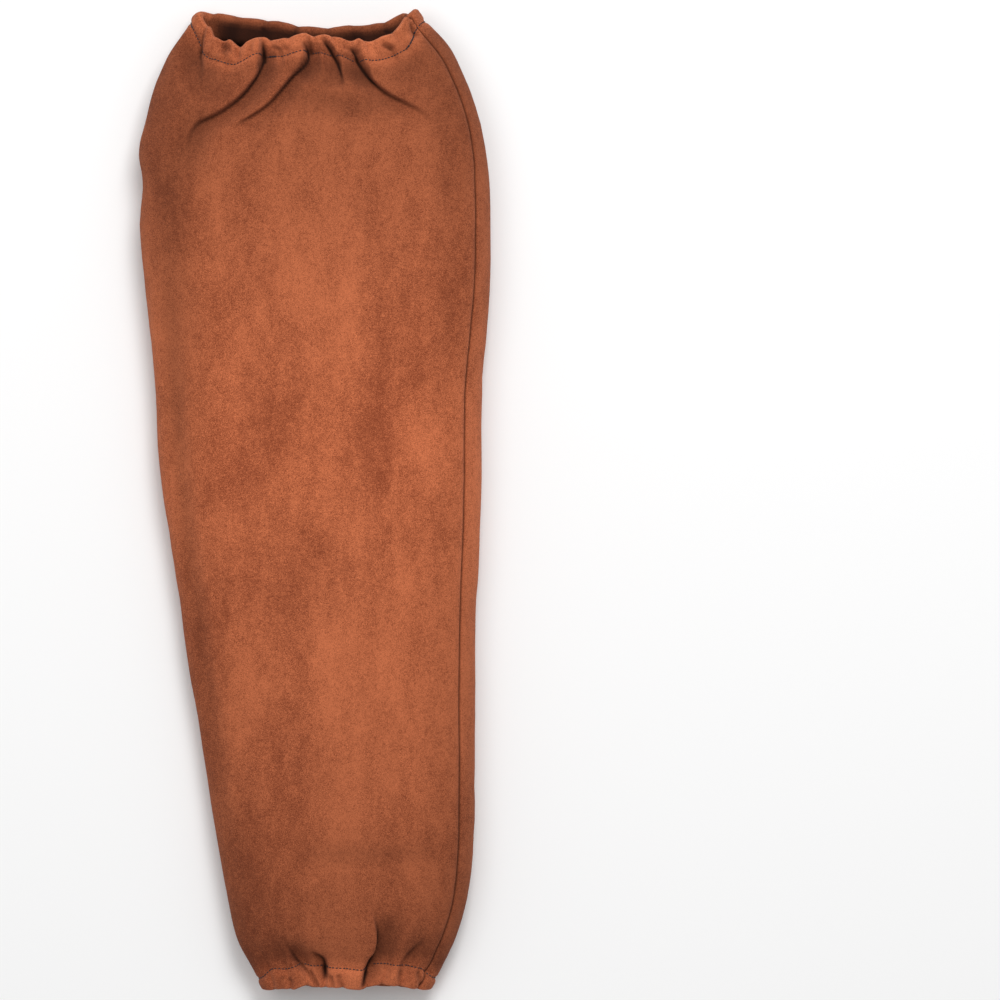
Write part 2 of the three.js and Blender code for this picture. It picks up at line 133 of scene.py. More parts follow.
SECTIONS = named(
    Section,
    (0, -0.29, 0.666, 0.62, 0.835), (0.018, -0.34, 0.708, 0.66, 0.87), (0.049, -0.432, 0.79, 0.74, 0.88),
    (0.09, -0.494, 0.864, 0.78, 0.89), (0.141, -0.545, 0.895, 0.78, 0.89),
    (0.193, -0.591, 0.903, 0.76, 0.89), (0.295, -0.687, 0.909, 0.76, 0.89),
    (0.398, -0.767, 0.92, 0.78, 0.895), (0.5, -0.858, 0.943, 0.82, 0.897),
    (0.602, -0.903, 0.949, 0.86, 0.9), (0.705, -0.954, 0.989, 0.92, 0.91), (0.777, -0.994, 1, 0.97, 0.917),
    (0.828, -0.983, 0.994, 1, 0.922), (0.848, -1, 0.983, 1, 0.926), (0.889, -0.954, 0.937, 1, 0.93),
    (0.93, -0.892, 0.852, 0.98, 0.93), (0.961, -0.815, 0.764, 0.93, 0.918),
    (0.982, -0.74, 0.654, 0.88, 0.935), (0.992, -0.704, 0.6, 0.86, 0.945), (1, -0.67, 0.572, 0.84, 0.93),
)

UPPER_RIM = named(
    RimDip,
    (-1, 0, 0), (-0.95, 0.27, 0.02), (-0.85, 0.68, 0.06), (-0.72, 0.88, 0.13), (-0.6, 1, 0.18),
    (-0.39, 0.71, 0.26), (-0.2, 0.75, 0.33), (0, 0.6, 0.44), (0.17, 0.66, 0.48), (0.4, 0.83, 0.41),
    (0.55, 0.88, 0.4), (0.68, 0.73, 0.34), (0.8, 0.52, 0.2), (0.89, 0.2, 0.07), (1, 0, 0),
)

RIM_BUMPS = named(
    RimBump,
    (-1, 0), (-0.95, 0.01), (-0.92, 0), (-0.87, -0.1), (-0.85, 0.02), (-0.81, 0.03), (-0.74, 0.04),
    (-0.69, -0.06), (-0.63, 0), (-0.6, 0.04), (-0.53, -0.01), (-0.43, 0.04), (-0.38, 0.06), (-0.33, 0.13),
    (-0.19, 0.08), (-0.07, 0.08), (0.01, 0.09), (0.05, 0.14), (0.17, 0.08), (0.31, 0.05), (0.44, 0.04),
    (0.48, -0.06), (0.57, 0.05), (0.71, 0.08), (0.81, 0.12), (0.86, 0.12), (0.91, 0.06), (1, 0),
)

LOWER_RIM = named(
    RimDip,
    (-1, 0, 0), (-0.94, 0.02, 0.1), (-0.76, 0.3, 0.3), (-0.66, 0.2, 0.4), (-0.53, 0.8, 0.5),
    (-0.36, 0.6, 0.4), (-0.2, 0.65, 0.5), (0.05, 0.35, 0.6), (0.18, 0.2, 0.5), (0.28, 0.65, 0.5),
    (0.41, 1, 0.6), (0.54, 0.85, 0.5), (0.72, 0.5, 0.4), (0.86, 0.05, 0.2), (1, 0, 0),
)

FOLDS = (
    fold(1, (-0.625, 0.978, 0.25), (-0.66, 0.959, 0.5), (-0.648, 0.939, 0.2), (-0.665, 0.92, 0)),
    fold(1, (-0.523, 0.961, 0.2), (-0.483, 0.957, 0.35), (-0.489, 0.951, 0)),
    fold(-1, (-0.293, 0.967, 0.35), (-0.295, 0.949, 1), (-0.375, 0.921, 0.9), (-0.534, 0.894, 0.6),
         (-0.682, 0.879, 0.42), (-0.733, 0.853, 0)),
    fold(1, (-0.182, 0.964, 0.1), (-0.159, 0.959, 0.3), (-0.176, 0.947, 0)),
    fold(-1, (-0.062, 0.967, 0.2), (-0.034, 0.953, 1), (-0.131, 0.931, 0.8), (-0.273, 0.9, 0.6),
         (-0.42, 0.882, 0.3), (-0.472, 0.875, 0)),
    fold(1, (0.054, 0.968, 0.2), (0.1, 0.957, 0.8), (0.125, 0.951, 0.9), (0.156, 0.934, 0.5),
         (0.159, 0.918, 0)),
    fold(1, (0.21, 0.961, 0.3), (0.256, 0.948, 1), (0.386, 0.918, 0.6), (0.591, 0.895, 0.25),
         (0.676, 0.883, 0)),
    fold(1, (0.392, 0.964, 0.18), (0.437, 0.958, 0.28), (0.472, 0.949, 0.18), (0.511, 0.94, 0)),
    fold(1, (0.54, 0.987, 0.18), (0.562, 0.978, 0.28), (0.574, 0.971, 0)),
    fold(-1, (-0.159, 0.049, 0), (-0.097, 0.028, 0.6), (-0.057, 0.022, 0.5), (-0.011, 0.01, 0)),
    fold(1, (-0.034, 0.041, 0), (0.045, 0.032, 0.55), (0.057, 0.018, 0.48), (0.045, 0.005, 0)),
    fold(-1, (0.3, 0.097, 0), (0.345, 0.076, 0.2), (0.358, 0.054, 0.6), (0.33, 0.034, 0.8),
         (0.295, 0.02, 0.7), (0.276, 0.003, 0.2)),
    fold(-1, (0.659, 0.056, 0), (0.523, 0.033, 0.25), (0.483, 0.016, 0.12), (0.48, 0.008, 0)),
    fold(-1, (0.648, 0.034, 0), (0.597, 0.018, 0.2), (0.608, 0.009, 0)),
)

DENTS = lipless(
    ((-0.864, 0.756, 0), (-0.83, 0.674, 0.5), (-0.795, 0.582, 1), (-0.739, 0.48, 0.9),
     (-0.562, 0.234, 0.5), (-0.466, 0.111, 0)),
    ((-0.165, 0.154, 0), (0.034, 0.143, 0.6), (0.318, 0.141, 0.8), (0.602, 0.145, 0.6),
     (0.744, 0.157, 0)),
)

HOLLOWS = lipless(
    ((-0.06, 0.94, 0.5), (0.08, 0.928, 1), (0.22, 0.932, 0.9), (0.32, 0.915, 0)),
    ((-0.24, 0.915, 0), (-0.02, 0.907, 0.8), (0.25, 0.9, 0.9), (0.45, 0.905, 0.3), (0.55, 0.91, 0)),
    ((-0.69, 0.957, 0.6), (-0.64, 0.936, 0.8), (-0.6, 0.915, 0.7), (-0.58, 0.9, 0)),
    ((-0.66, 0.882, 0.8), (-0.7, 0.858, 1), (-0.74, 0.82, 0)),
    ((0.47, 0.953, 0.5), (0.5, 0.935, 0.5), (0.53, 0.915, 0)),
    ((0.38, 0.078, 0), (0.42, 0.06, 1), (0.39, 0.038, 1), (0.34, 0.02, 0.5)),
    ((-0.3, 0.05, 0), (-0.2, 0.042, 0.8), (-0.12, 0.032, 0.7), (-0.06, 0.024, 0.3)),
    ((-0.05, 0.045, 0), (0, 0.036, 0.8), (0.03, 0.026, 0.6)),
    ((0.68, 0.06, 0), (0.58, 0.045, 0.8), (0.5, 0.03, 0.6)),
)

HEM_CREASES = lipless(
    ((-0.593, 0.985, 0.5), (-0.58, 0.973, 0.2)),
    ((-0.506, 0.969, 0.3), (-0.512, 0.956, 1), (-0.49, 0.944, 0.3)),
    ((-0.455, 0.966, 0.3), (-0.427, 0.95, 0.7)),
    ((-0.347, 0.967, 0.2), (-0.362, 0.956, 0.8)),
    ((-0.29, 0.971, 0.5), (-0.29, 0.949, 1)),
    ((-0.23, 0.962, 0.5), (-0.193, 0.956, 0.9), (-0.184, 0.943, 0.4)),
    ((-0.034, 0.974, 0.6), (-0.02, 0.957, 1)),
    ((0.051, 0.97, 0.5), (0.068, 0.965, 1), (0.102, 0.959, 0.8)),
    ((0.176, 0.961, 0.6), (0.248, 0.956, 1)),
    ((0.261, 0.967, 0.4), (0.248, 0.96, 0.9)),
    ((0.392, 0.963, 0.6), (0.438, 0.96, 1)),
    ((0.551, 0.984, 0.6), (0.574, 0.973, 0.9)),
    ((-0.182, 0.013, 0.6), (-0.193, 0.002, 0.3)),
    ((-0.136, 0.011, 0.7), (-0.131, 0.004, 0.3)),
    ((-0.023, 0.018, 0.7), (0.015, 0.006, 1)),
    ((0.053, 0.022, 1), (0.063, 0.015, 0.8)),
    ((0.091, 0.015, 0.8), (0.102, 0.007, 0.7)),
    ((0.135, 0.016, 0.8), (0.151, 0.006, 0.7)),
    ((0.293, 0.017, 1), (0.276, 0.006, 1)),
    ((0.489, 0.019, 0.6), (0.483, 0.006, 0.3)),
    ((0.585, 0.018, 0.8), (0.597, 0.006, 0.5)),
)

UNDERSIDE_GATHERS = tuple(0.46 + 0.05875 * step for step in range(9)) + (1,)

GATHERS = {
    Rim.UPPER_ARM: (0, 0.036, 0.096, 0.16, 0.195, 0.247, 0.283, 0.345, 0.41) + UNDERSIDE_GATHERS,
    Rim.WRIST: (0, 0.052, 0.1, 0.139, 0.203, 0.248, 0.297, 0.343, 0.386) + UNDERSIDE_GATHERS,
}


def smoothstep(value: Array, low: float | Array, high: float | Array) -> Array:
    """Rise smoothly from 0 at low to 1 at high."""
    share = np.clip((value - low) / (high - low), 0.0, 1.0)
    return share * share * (3.0 - 2.0 * share)


def bell(value: Array, reach: float) -> Array:
    """Fall smoothly from 1 at zero to either side, to almost 0 at twice the reach."""
    return np.exp(-((value / reach) ** 2))


def running_sum(steps: Array) -> Array:
    """Add up steps along the last axis, starting from zero."""
    return np.concatenate([np.zeros((*steps.shape[:-1], 1)), np.cumsum(steps, axis=-1)], axis=-1)


def read_curve(places: Array, values: Array, at: Array) -> Array:
    """Read a smooth curve through some values.

    Args:
        places: The values' places, rising.
        values: The values.
        at: Where the curve is read, of any shape.

    Returns:
        The curve there, in the shape of at.
    """
    spans = np.diff(places)
    rises = np.diff(values) / spans
    slopes = np.empty_like(values)
    slopes[0], slopes[-1] = rises[0], rises[-1]
    slopes[1:-1] = (rises[:-1] * spans[1:] + rises[1:] * spans[:-1]) / (spans[:-1] + spans[1:])
    x = np.clip(at, places[0], places[-1])
    row = np.clip(np.searchsorted(places, x, side="right") - 1, 0, len(spans) - 1)
    span = spans[row]
    share = (x - places[row]) / span
    rest = 1.0 - share
    return (
        values[row] * (1 + 2 * share) * rest**2
        + slopes[row] * span * share * rest**2
        + values[row + 1] * share**2 * (3 - 2 * share)
        - slopes[row + 1] * span * share**2 * rest
    )


class Table:
    """A table whose columns are read as smooth curves over the first one."""

    def __init__(self, rows: tuple[NamedTuple, ...]) -> None:
        """Take the rows apart into named columns."""
        names = rows[0]._fields
        self.columns = {name: np.array([getattr(row, name) for row in rows], float) for name in names}
        self.places = self.columns[names[0]]

    def read(self, name: str, at: Array) -> Array:
        """Read one column at some places."""
        return read_curve(self.places, self.columns[name], at)


class Waviness:
    """Seeded, smooth unevenness over the sleeve's skin, without a jump at the seam."""

    def __init__(self, seed: int, round_cells: int, long_cells: int) -> None:
        """Draw one height for each corner of the cells."""
        self.corners = np.random.default_rng(seed).uniform(-1, 1, (round_cells, long_cells + 1))

    def read(self, turns: Array, shares: Array) -> Array:
        """Read the unevenness, from -1 to 1.

        Args:
            turns: Turns round the tube, of any size.
            shares: Shares of the length.

        Returns:
            The heights there.
        """
        cells, rows = self.corners.shape
        last_cell = (rows - 1) * 0.9999
        u = (turns % 1.0) * cells
        v = np.clip(shares, 0, 1) * last_cell
        i, j = u.astype(int), v.astype(int)
        su, sv = smoothstep(u - i, 0, 1), smoothstep(v - j, 0, 1)
        a, b = self.corners[i % cells, j], self.corners[(i + 1) % cells, j]
        c, d = self.corners[i % cells, j + 1], self.corners[(i + 1) % cells, j + 1]
        return (a * (1 - su) + b * su) * (1 - sv) + (c * (1 - su) + d * su) * sv


class FoldEffect(NamedTuple):
    """What a fold does at some places.

    Its sink, the crest over its lip, the line of painted shadow where lip and bottom meet, and the way to
    its bottom.
    """

    sink: Array
    crest: Array
    line: Array
    to_x: Array
    to_y: Array


@dataclass
class Trace:
    """A fold's way in plan, sampled closely, and what it does to the leather beside it."""

    fold: Fold
    half_width: float
    length: float
    lip_width: float
    slope_width: float
    crest_reach: float = 5
    line_width: float = 0.85 * MM
    steps: int = 8
    nearest: float = 1e-9
    points: Array = field(init=False)

    def __post_init__(self) -> None:
        """Sample the way as a smooth curve."""
        rows = np.array(self.fold.way, float) * (self.half_width, self.length, 1.0)
        chords = running_sum(np.hypot(*np.diff(rows[:, :2], axis=0).T))
        at = np.linspace(0, chords[-1], self.steps * (len(rows) - 1) + 1)
        self.points = np.stack([read_curve(chords, rows[:, k].copy(), at) for k in range(3)], axis=1)
        self.points[:, 2] = np.clip(self.points[:, 2], 0, 1)

    def effect(self, x: Array, y: Array) -> FoldEffect:
        """Work out how the fold moves places in plan.

        Args:
            x: Places across the sleeve.
            y: Distances of the places from the wrist rim.

        Returns:
            The fold's effect there.
        """
        result = FoldEffect(*np.zeros((5, *x.shape)))
        reach = max(self.slope_width, self.crest_reach * self.lip_width)
        low, high = self.points.min(axis=0) - reach, self.points.max(axis=0) + reach
        near = (x > low[0]) & (x < high[0]) & (y > low[1]) & (y < high[1])
        if not near.any():
            return result
        px, py = x[near], y[near]
        best = np.full(px.shape, np.inf)
        depth, left, ux, uy = np.zeros((4, *px.shape))
        for start, end in zip(self.points[:-1], self.points[1:]):
            dx, dy = end[0] - start[0], end[1] - start[1]
            share = np.clip(((px - start[0]) * dx + (py - start[1]) * dy) / (dx * dx + dy * dy), 0, 1)
            ox, oy = px - start[0] - share * dx, py - start[1] - share * dy
            away = np.hypot(ox, oy)
            closer = away < best
            safe = np.maximum(away, self.nearest)
            best = np.where(closer, away, best)
            depth = np.where(closer, start[2] + share * (end[2] - start[2]), depth)
            left = np.where(closer, (dx * oy - dy * ox) / (math.hypot(dx, dy) * safe), left)
            ux, uy = np.where(closer, -ox / safe, ux), np.where(closer, -oy / safe, uy)
        lipward = left * self.fold.lip
        width = self.slope_width + (self.lip_width - self.slope_width) * (0.5 + 0.5 * lipward)
        falling = 1 - smoothstep(best, self.lip_width, reach)
        result.sink[near] = depth * (0.5 + 0.5 * np.cos(np.pi * np.minimum(1, best / width)))
        result.crest[near] = np.clip(lipward, 0, 1) * depth * smoothstep(best, 0, self.lip_width) * falling
        # The line is painted shadow along the lip's foot, not a change of shape.
        result.line[near] = depth * bell(best, self.line_width)
        result.to_x[near], result.to_y[near] = ux, uy
        return result


class Dips(NamedTuple):
    """The deepest of every kind of fold at some places, and how far the folds' lips push the leather."""

    sink: Array
    crest: Array
    line: Array
    push_x: Array
    push_y: Array
    dent: Array
    pinch: Array
    hollow: Array


@dataclass(frozen=True)
class NapShading:
    """How much shade is painted on the nap: in creases, and as broad shade where less light falls on the
    sleeve.
    """

    # Painted shade in folds, lip lines, hem pinches, dents, hollows and puckers, and a painted shadow line
    # along the seam's groove.
    sink: float = 0.46
    sink_power: float = 1.2
    line: float = 0.85
    pinch: float = 0.42
    dent: float = 0.27
    hollow: float = 0.3
    pucker: float = 0.2
    seam: float = 0.72
    seam_width: float = 0.5 * MM
    # Broad painted shade: darker off the lit middle, at both sides, in a band by the left side, and by the
    # hems.
    unworn: float = 0.16
    worn_along: float = 0.55
    worn_reach: float = 0.13
    left_edge: float = 0.09
    right_edge: float = 0.17
    edge: tuple[float, float] = (0.5, 0.95)
    band: float = 0.17
    band_across: float = -0.82
    band_width: float = 0.12
    band_start: tuple[float, float] = (0.45, 0.62)
    band_end: tuple[float, float] = (0.8, 0.9)
    hem: float = 0.3
    hem_reach: float = 110 * MM
    hem_start: float = 8 * MM

    def creased(self, dips: Dips, pucker: Array) -> Array:
        """Say how much shade is painted in folds, dents, hollows and puckers."""
        deep = self.sink * dips.sink**self.sink_power + self.line * dips.line + self.pinch * dips.pinch
        return deep + self.dent * dips.dent + self.pucker * pucker + self.hollow * dips.hollow

    def brushed(self, place: Array, along: Array, past: Array) -> Array:
        """Say how much broad shade is painted on the nap, where less light falls on the sleeve.

        Args:
            place: Places from the left side (-1) to the right (1).
            along: Shares of the length.
            past: How far the places lie past the hems' stitches.

        Returns:
            How much shade is painted off the lit middle, at both sides, in a band by the left one, and by
            the hems.
        """
        lit_middle = bell(along - self.worn_along, self.worn_reach)
        edge = np.where(place > 0, self.right_edge, self.left_edge) * smoothstep(np.abs(place), *self.edge)
        band = smoothstep(along, *self.band_start) * (1 - smoothstep(along, *self.band_end))
        band = self.band * band * bell(place - self.band_across, self.band_width)
        hem = self.hem * bell(past, self.hem_reach) * smoothstep(past, 0, self.hem_start)
        return self.unworn * (1 - lit_middle) + edge + band + hem


class Outline(NamedTuple):
    """Closed sections: the points x and z of each, the way along them, and columns of their measures."""

    x: Array
    z: Array
    way: Array
    girth: Array
    middle: Array
    half: Array
    side: Array
    seam: Array
    top: Array


class Layer(NamedTuple):
    """Rows of places on a layer of the sleeve, each with a distance, a depth and a share of the swelling.

    The depth is counted from the outer skin, and the share says how much the row swells with the hem.
    """

    turns: Array
    distances: Array
    depths: Array
    swells: Array

    @classmethod
    def even(cls, turns: Array, distances: Array, depth: float) -> Layer:
        """Lay all rows at one depth, without swelling."""
        return cls(turns, distances, np.full(len(distances), depth), np.zeros(len(distances)))


class Drape(NamedTuple):
    """How the leather lies off the smooth tube.

    How far it lies outside, how far it is pushed across and along, how much shade is painted on its
    nap, how far a layer below hangs off it, and how much of the hem's swelling it takes.
    """

    outside: Array
    push_x: Array
    push_y: Array
    shade: Array
    slack: Array
    puff: Array


@dataclass
class SleeveForm:
    """The sleeve's shape: the smooth tube, its folds, its hems and its seam."""

    length: float
    half_width: float
    height: float
    leather: float = 1.4 * MM
    clearance: float = 0.3 * MM
    elastic_width: float = 7 * MM
    elastic_thickness: float = 1.1 * MM
    stitch_setback: float = 3.4 * MM
    hem_tail: float = 4 * MM
    upper_rim_dip: float = 21.5 * MM
    upper_dip_start: float = 0.72
    lower_rim_dip: float = 3.6 * MM
    lower_dip_start: float = 0.9
    side_height: float = 0.42
    flat_share: float = 0.78
    shoulder_share: float = 0.8
    crown_share: float = 0.55
    bilge_share: float = 0.65
    keel_share: float = 0.45
    curve_points: int = 90
    cuff_lift: float = 3 * MM
    cuff_reach: float = 0.1
    hem_narrowing: float = 5 * MM
    narrowing_reach: float = 30 * MM
    corner_start: float = 0.78
    top_start: float = 1.4
    fold_depth: float = 9.5 * MM
    fold_lip_width: float = 2.8 * MM
    fold_slope_width: float = 15 * MM
    fold_overhang: float = 3.4 * MM
    fold_freedom: float = 8 * MM
    crest_height: float = 1.2 * MM
    dent_depth: float = 2 * MM
    dent_width: float = 11 * MM
    hollow_depth: float = 2.6 * MM
    hollow_width: float = 16 * MM
    hem_crease_depth: float = 2.6 * MM
    hem_crease_width: float = 2.6 * MM
    puff_height: float = 2.6 * MM
    puff_power: float = 0.75
    corner_puff: float = 0.25
    puff_corner: tuple[float, float] = (0.01, 0.2)
    ruffle_depth: float = 2 * MM
    ruffle_reach: float = 50 * MM
    falloff: float = 1.5
    pucker_depth: float = 1.5 * MM
    pucker_reach: float = 12 * MM
    pucker_start: tuple[float, float] = (-2 * MM, 1 * MM)
    stitch_press: float = 0.9 * MM
    press_width: float = 1.1 * MM
    rim_pull: float = 1.6 * MM
    rim_waviness: float = 0.7 * MM
    top_calm: float = 0.7
    underside_calm: float = 0.5
    underside: float = 0.4
    even_below: float = 0.2
    flap_slack: float = 1.2 * MM
    flap_start: float = 0.9
    bulge: float = 0.22 * MM
    steepest_slant: float = 1.5
    seam_depth: float = 1.5 * MM
    seam_half: float = 1.3 * MM
    allowance: float = 8.5 * MM
    allowance_rise: float = 0.7 * MM
    rise_end: float = 2.2
    rise_fall: float = 1.35
    step: float = 1.5 * MM
    shading: NapShading = NapShading()

    def __post_init__(self) -> None:
        """Trace the folds and draw the leather's unevenness."""
        self.folds = self.trace(FOLDS, self.fold_lip_width, self.fold_slope_width)
        self.dents = self.trace(DENTS, self.dent_width, self.dent_width)
        self.hollows = self.trace(HOLLOWS, self.hollow_width, self.hollow_width)
        self.hem_creases = self.trace(HEM_CREASES, self.hem_crease_width, self.hem_crease_width)
        self.rim_waves = Waviness(17, 54, 6)
        self.swells = (
            (Waviness(3, 9, 11), 1.0 * MM),
            (Waviness(5, 30, 38), 0.34 * MM),
            (Waviness(8, 90, 120), 0.12 * MM),
        )
        self.outline = Table(SECTIONS)
        self.upper_rim, self.lower_rim = Table(UPPER_RIM), Table(LOWER_RIM)
        self.bumps = Table(RIM_BUMPS)

    def trace(self, folds: tuple[Fold, ...], lip_width: float, slope_width: float) -> list[Trace]:
        """Trace folds of one kind."""
        return [Trace(own, self.half_width, self.length, lip_width, slope_width) for own in folds]

    @property
    def tunnel_end(self) -> float:
        """Inset at which the elastic's tunnel ends."""
        return self.leather + self.elastic_width + 2 * self.clearance

    @property
    def stitch_line(self) -> float:
        """Inset of the line of stitches."""
        return self.tunnel_end + self.stitch_setback

    @property
    def hem_end(self) -> float:
        """Inset at which the turned-in leather ends."""
        return self.stitch_line + self.hem_tail

    @property
    def hem_depth(self) -> float:
        """Depth from the hem's outer skin to its skin inside the tube."""
        return 2 * self.leather + self.elastic_thickness + 2 * self.clearance

    def inset(self, distances: Array) -> Array:
        """Say how far distances lie from the nearer rim."""
        return np.minimum(distances, self.length - distances)

    def sections(self, distances: Array) -> Outline:
        """Lay out the closed sections at some distances.

        Args:
            distances: Distances from the wrist rim.

        Returns:
            The sections there.
        """
        along = np.clip(distances / self.length, 0, 1)
        left, right, height, seam = (self.outline.read(name, along) for name in Section._fields[1:])
        left, right, top = left * self.half_width, right * self.half_width, height * self.height
        lift = self.cuff_lift * (np.clip(1 - np.minimum(along, 1 - along) / self.cuff_reach, 0, 1) ** 2)
        middle, half = (left + right) / 2, (right - left) / 2
        side = lift + self.side_height * (top - lift)
        flat = self.flat_share * half
        shoulder, crown = side + (top - side) * self.shoulder_share, half * self.crown_share
        bilge, keel = side - (side - lift) * self.bilge_share, flat + (half - flat) * self.keel_share
        curves = (
            ((right, side), (right, shoulder), (middle + crown, top), (middle, top)),
            ((middle, top), (middle - crown, top), (left, shoulder), (left, side)),
            ((left, side), (left, bilge), (middle - keel, lift), (middle - flat, lift)),
            tuple((middle + flat * share, lift) for share in (-1, -1 / 3, 1 / 3, 1)),
            ((middle + flat, lift), (middle + keel, lift), (right, bilge), (right, side)),
        )
        t = np.linspace(0, 1, self.curve_points)[:, None]
        weights = ((1 - t) ** 3, 3 * t * (1 - t) ** 2, 3 * t * t * (1 - t), t**3)
        xz = []
        for axis in (0, 1):
            runs = [sum(w * p[axis][None] for w, p in zip(weights, curve)) for curve in curves]
            xz.append(np.concatenate([runs[0]] + [run[1:] for run in runs[1:]]).T)
        x, z = xz
        ways = running_sum(np.hypot(np.diff(x, axis=1), np.diff(z, axis=1)))
        first = self.curve_points
        crossings = zip(middle + half * seam, x, ways)
        seam = np.array([np.interp(-at, -row[:first], way[:first]) for at, row, way in crossings])
        measures = (ways[:, -1], middle, half, side, seam, top)
        return Outline(x, z, ways, *(measure[:, None] for measure in measures))

    def smooth(self, turns: Array, distances: Array) -> Array:
        """Place points on the smooth tube, without seam, folds or wall.

        Args:
            turns: One row of turns for each distance.
            distances: Distances from the wrist rim.

        Returns:
            The points, with Y counted from the wrist rim.
        """
        held = np.clip(distances, 0, self.length)
        s = self.sections(held)
        ways = (s.seam + turns * s.girth) % s.girth
        x = np.array([np.interp(w, along, row) for w, along, row in zip(ways, s.way, s.x)])
        z = np.array([np.interp(w, along, row) for w, along, row in zip(ways, s.way, s.z)])
        across = (x - s.middle) / s.half
        front = z > s.side
        inset = self.inset(held)[:, None]
        near = smoothstep(inset, 0, self.stitch_line)
        near = near * (1 - smoothstep(inset, self.stitch_line, self.stitch_line + self.narrowing_reach))
        outward = np.where(held > self.length / 2, 1, -1)[:, None]
        corner = smoothstep(np.abs(across), self.corner_start, 1) * outward
        held = held[:, None] + self.hem_narrowing * corner * near
        along = held / self.length
        left, right, height = (self.outline.read(name, along) for name in Section._fields[1:4])
        z = z * height * self.height / s.top
        x = self.half_width * ((left + right) / 2 + across * (right - left) / 2)
        across = np.clip(across, -1, 1)
        upper, lower = (
            np.where(front, rim.read("front", across), rim.read("back", across))
            for rim in (self.upper_rim, self.lower_rim)
        )
        upper = self.upper_rim_dip * upper * smoothstep(along, self.upper_dip_start, 1)
        lower = self.lower_rim_dip * lower * smoothstep(1 - along, self.lower_dip_start, 1)
        return np.stack([x, held - upper + lower, z], axis=2)

    def swelling(self, turns: Array, distances: Array) -> Array:
        """Say how much each place of a hem swells: 0 at its gathers, and 1 midway between two."""
        place = turns % 1.0
        result = np.zeros_like(place)
        upper = distances > self.length / 2
        for rim, own in ((Rim.UPPER_ARM, upper), (Rim.WRIST, ~upper)):
            gathers = np.array(GATHERS[rim])
            after = np.clip(np.searchsorted(gathers, place[own], side="right"), 1, len(gathers) - 1)
            share = (place[own] - gathers[after - 1]) / (gathers[after] - gathers[after - 1])
            result[own] = np.sin(np.pi * np.clip(share, 0, 1))
        return result

    def dips(self, x: Array, y: Array) -> Dips:
        """Work out what all folds do to places in plan.

        Args:
            x: Places across the sleeve.
            y: Distances of the places from the wrist rim.

        Returns:
            The folds' joint effect there.
        """
        folds = [trace.effect(x, y) for trace in self.folds]
        deepest = [np.maximum.reduce([effect[k] for effect in folds]) for k in range(3)]
        push_x = self.fold_overhang * sum(effect.crest * effect.to_x for effect in folds)
        push_y = self.fold_overhang * sum(effect.crest * effect.to_y for effect in folds)
        shallow = [
            np.maximum.reduce([trace.effect(x, y).sink for trace in traces])
            for traces in (self.dents, self.hem_creases, self.hollows)
        ]
        return Dips(*deepest, push_x, push_y, *shallow)

    def drape(self, turns: Array, distances: Array) -> Drape:
        """Work out how the leather lies off the smooth tube.

        Args:
            turns: One row of turns for each distance.
            distances: Distances from the wrist rim.

        Returns:
            How it lies there.
        """
        held = np.clip(distances, 0, self.length)
        base = self.smooth(turns, held)
        x, y, z = base[..., 0], base[..., 1], base[..., 2]
        s = self.sections(held)
        along = y / self.length
        place = np.clip((x - s.middle) / s.half, -1, 1)
        on_top = smoothstep(z, s.side, s.side * self.top_start)
        inset = self.inset(held)[:, None]
        past = inset - self.stitch_line
        upper = (held > self.length / 2)[:, None]
        from_seam = ((turns + 0.5) % 1.0 - 0.5) * s.girth
        dips = self.dips(x, y)
        swell = self.swelling(turns, held)

        ruffle = (1 - on_top) * (1 - swell) * self.ruffle_depth
        ruffle = ruffle * np.clip(1 - inset / self.ruffle_reach, 0, 1) ** self.falloff
        pucker = (1 - swell**0.5) * np.exp(-np.maximum(0, past) / self.pucker_reach)
        pucker = pucker * smoothstep(past, *self.pucker_start)
        press = self.stitch_press * bell(past, self.press_width)
        groove = self.seam_depth * np.clip(1 - np.abs(from_seam) / self.seam_half, 0, 1) ** self.falloff
        plies = smoothstep(from_seam, self.seam_half, self.rise_end * self.seam_half) * self.allowance_rise
        plies = plies * (1 - smoothstep(from_seam, self.allowance, self.allowance * self.rise_fall))
        uneven = sum(size * noise.read(turns, along) for noise, size in self.swells)
        uneven = uneven * smoothstep(z, self.even_below * s.side, s.side)
        relief = plies + dips.crest * self.crest_height
        relief = relief - dips.sink * self.fold_depth - dips.dent * self.dent_depth
        relief = relief - dips.pinch * self.hem_crease_depth
        relief = relief - dips.hollow * self.hollow_depth * (1 - dips.sink)
        outside = on_top * relief - pucker * self.pucker_depth - groove - ruffle - press + uneven

        rim = np.clip(-past / self.stitch_line, 0, 1)
        waves = self.rim_waviness * self.rim_waves.read(turns, along)
        calm = 1 - self.underside_calm * (1 - smoothstep(z, self.underside * s.side, s.side))
        pull = rim * np.where(upper, -1, 1) * (self.rim_pull * (1 - swell) ** 2 + waves)
        pull = pull * (1 - self.top_calm * on_top) * calm
        bumps = self.bumps.read("sink", place) * (z > s.side) * upper
        pull = pull - bumps * self.upper_rim_dip * (1 - smoothstep(inset, 0, self.stitch_line))

        free = on_top * smoothstep(inset, self.hem_end, self.hem_end + self.fold_freedom)
        # Painted shade: darker nap in the folds, a painted shadow line along the seam's groove, and the
        # broad painted shade.
        creased = self.shading.creased(dips, pucker) * on_top
        creased = np.maximum(creased, self.shading.seam * bell(from_seam, self.shading.seam_width))
        brushed = self.shading.brushed(place, along, past)
        off_corner = smoothstep(1 - np.abs(place), *self.puff_corner)
        return Drape(
            outside=outside,
            push_x=dips.push_x * free,
            push_y=dips.push_y * free + pull,
            shade=1 - (1 - np.clip(creased, 0, 1)) * (1 - brushed),
            slack=(dips.sink + dips.pinch) * on_top,
            puff=self.corner_puff + (1 - self.corner_puff) * off_corner,
        )

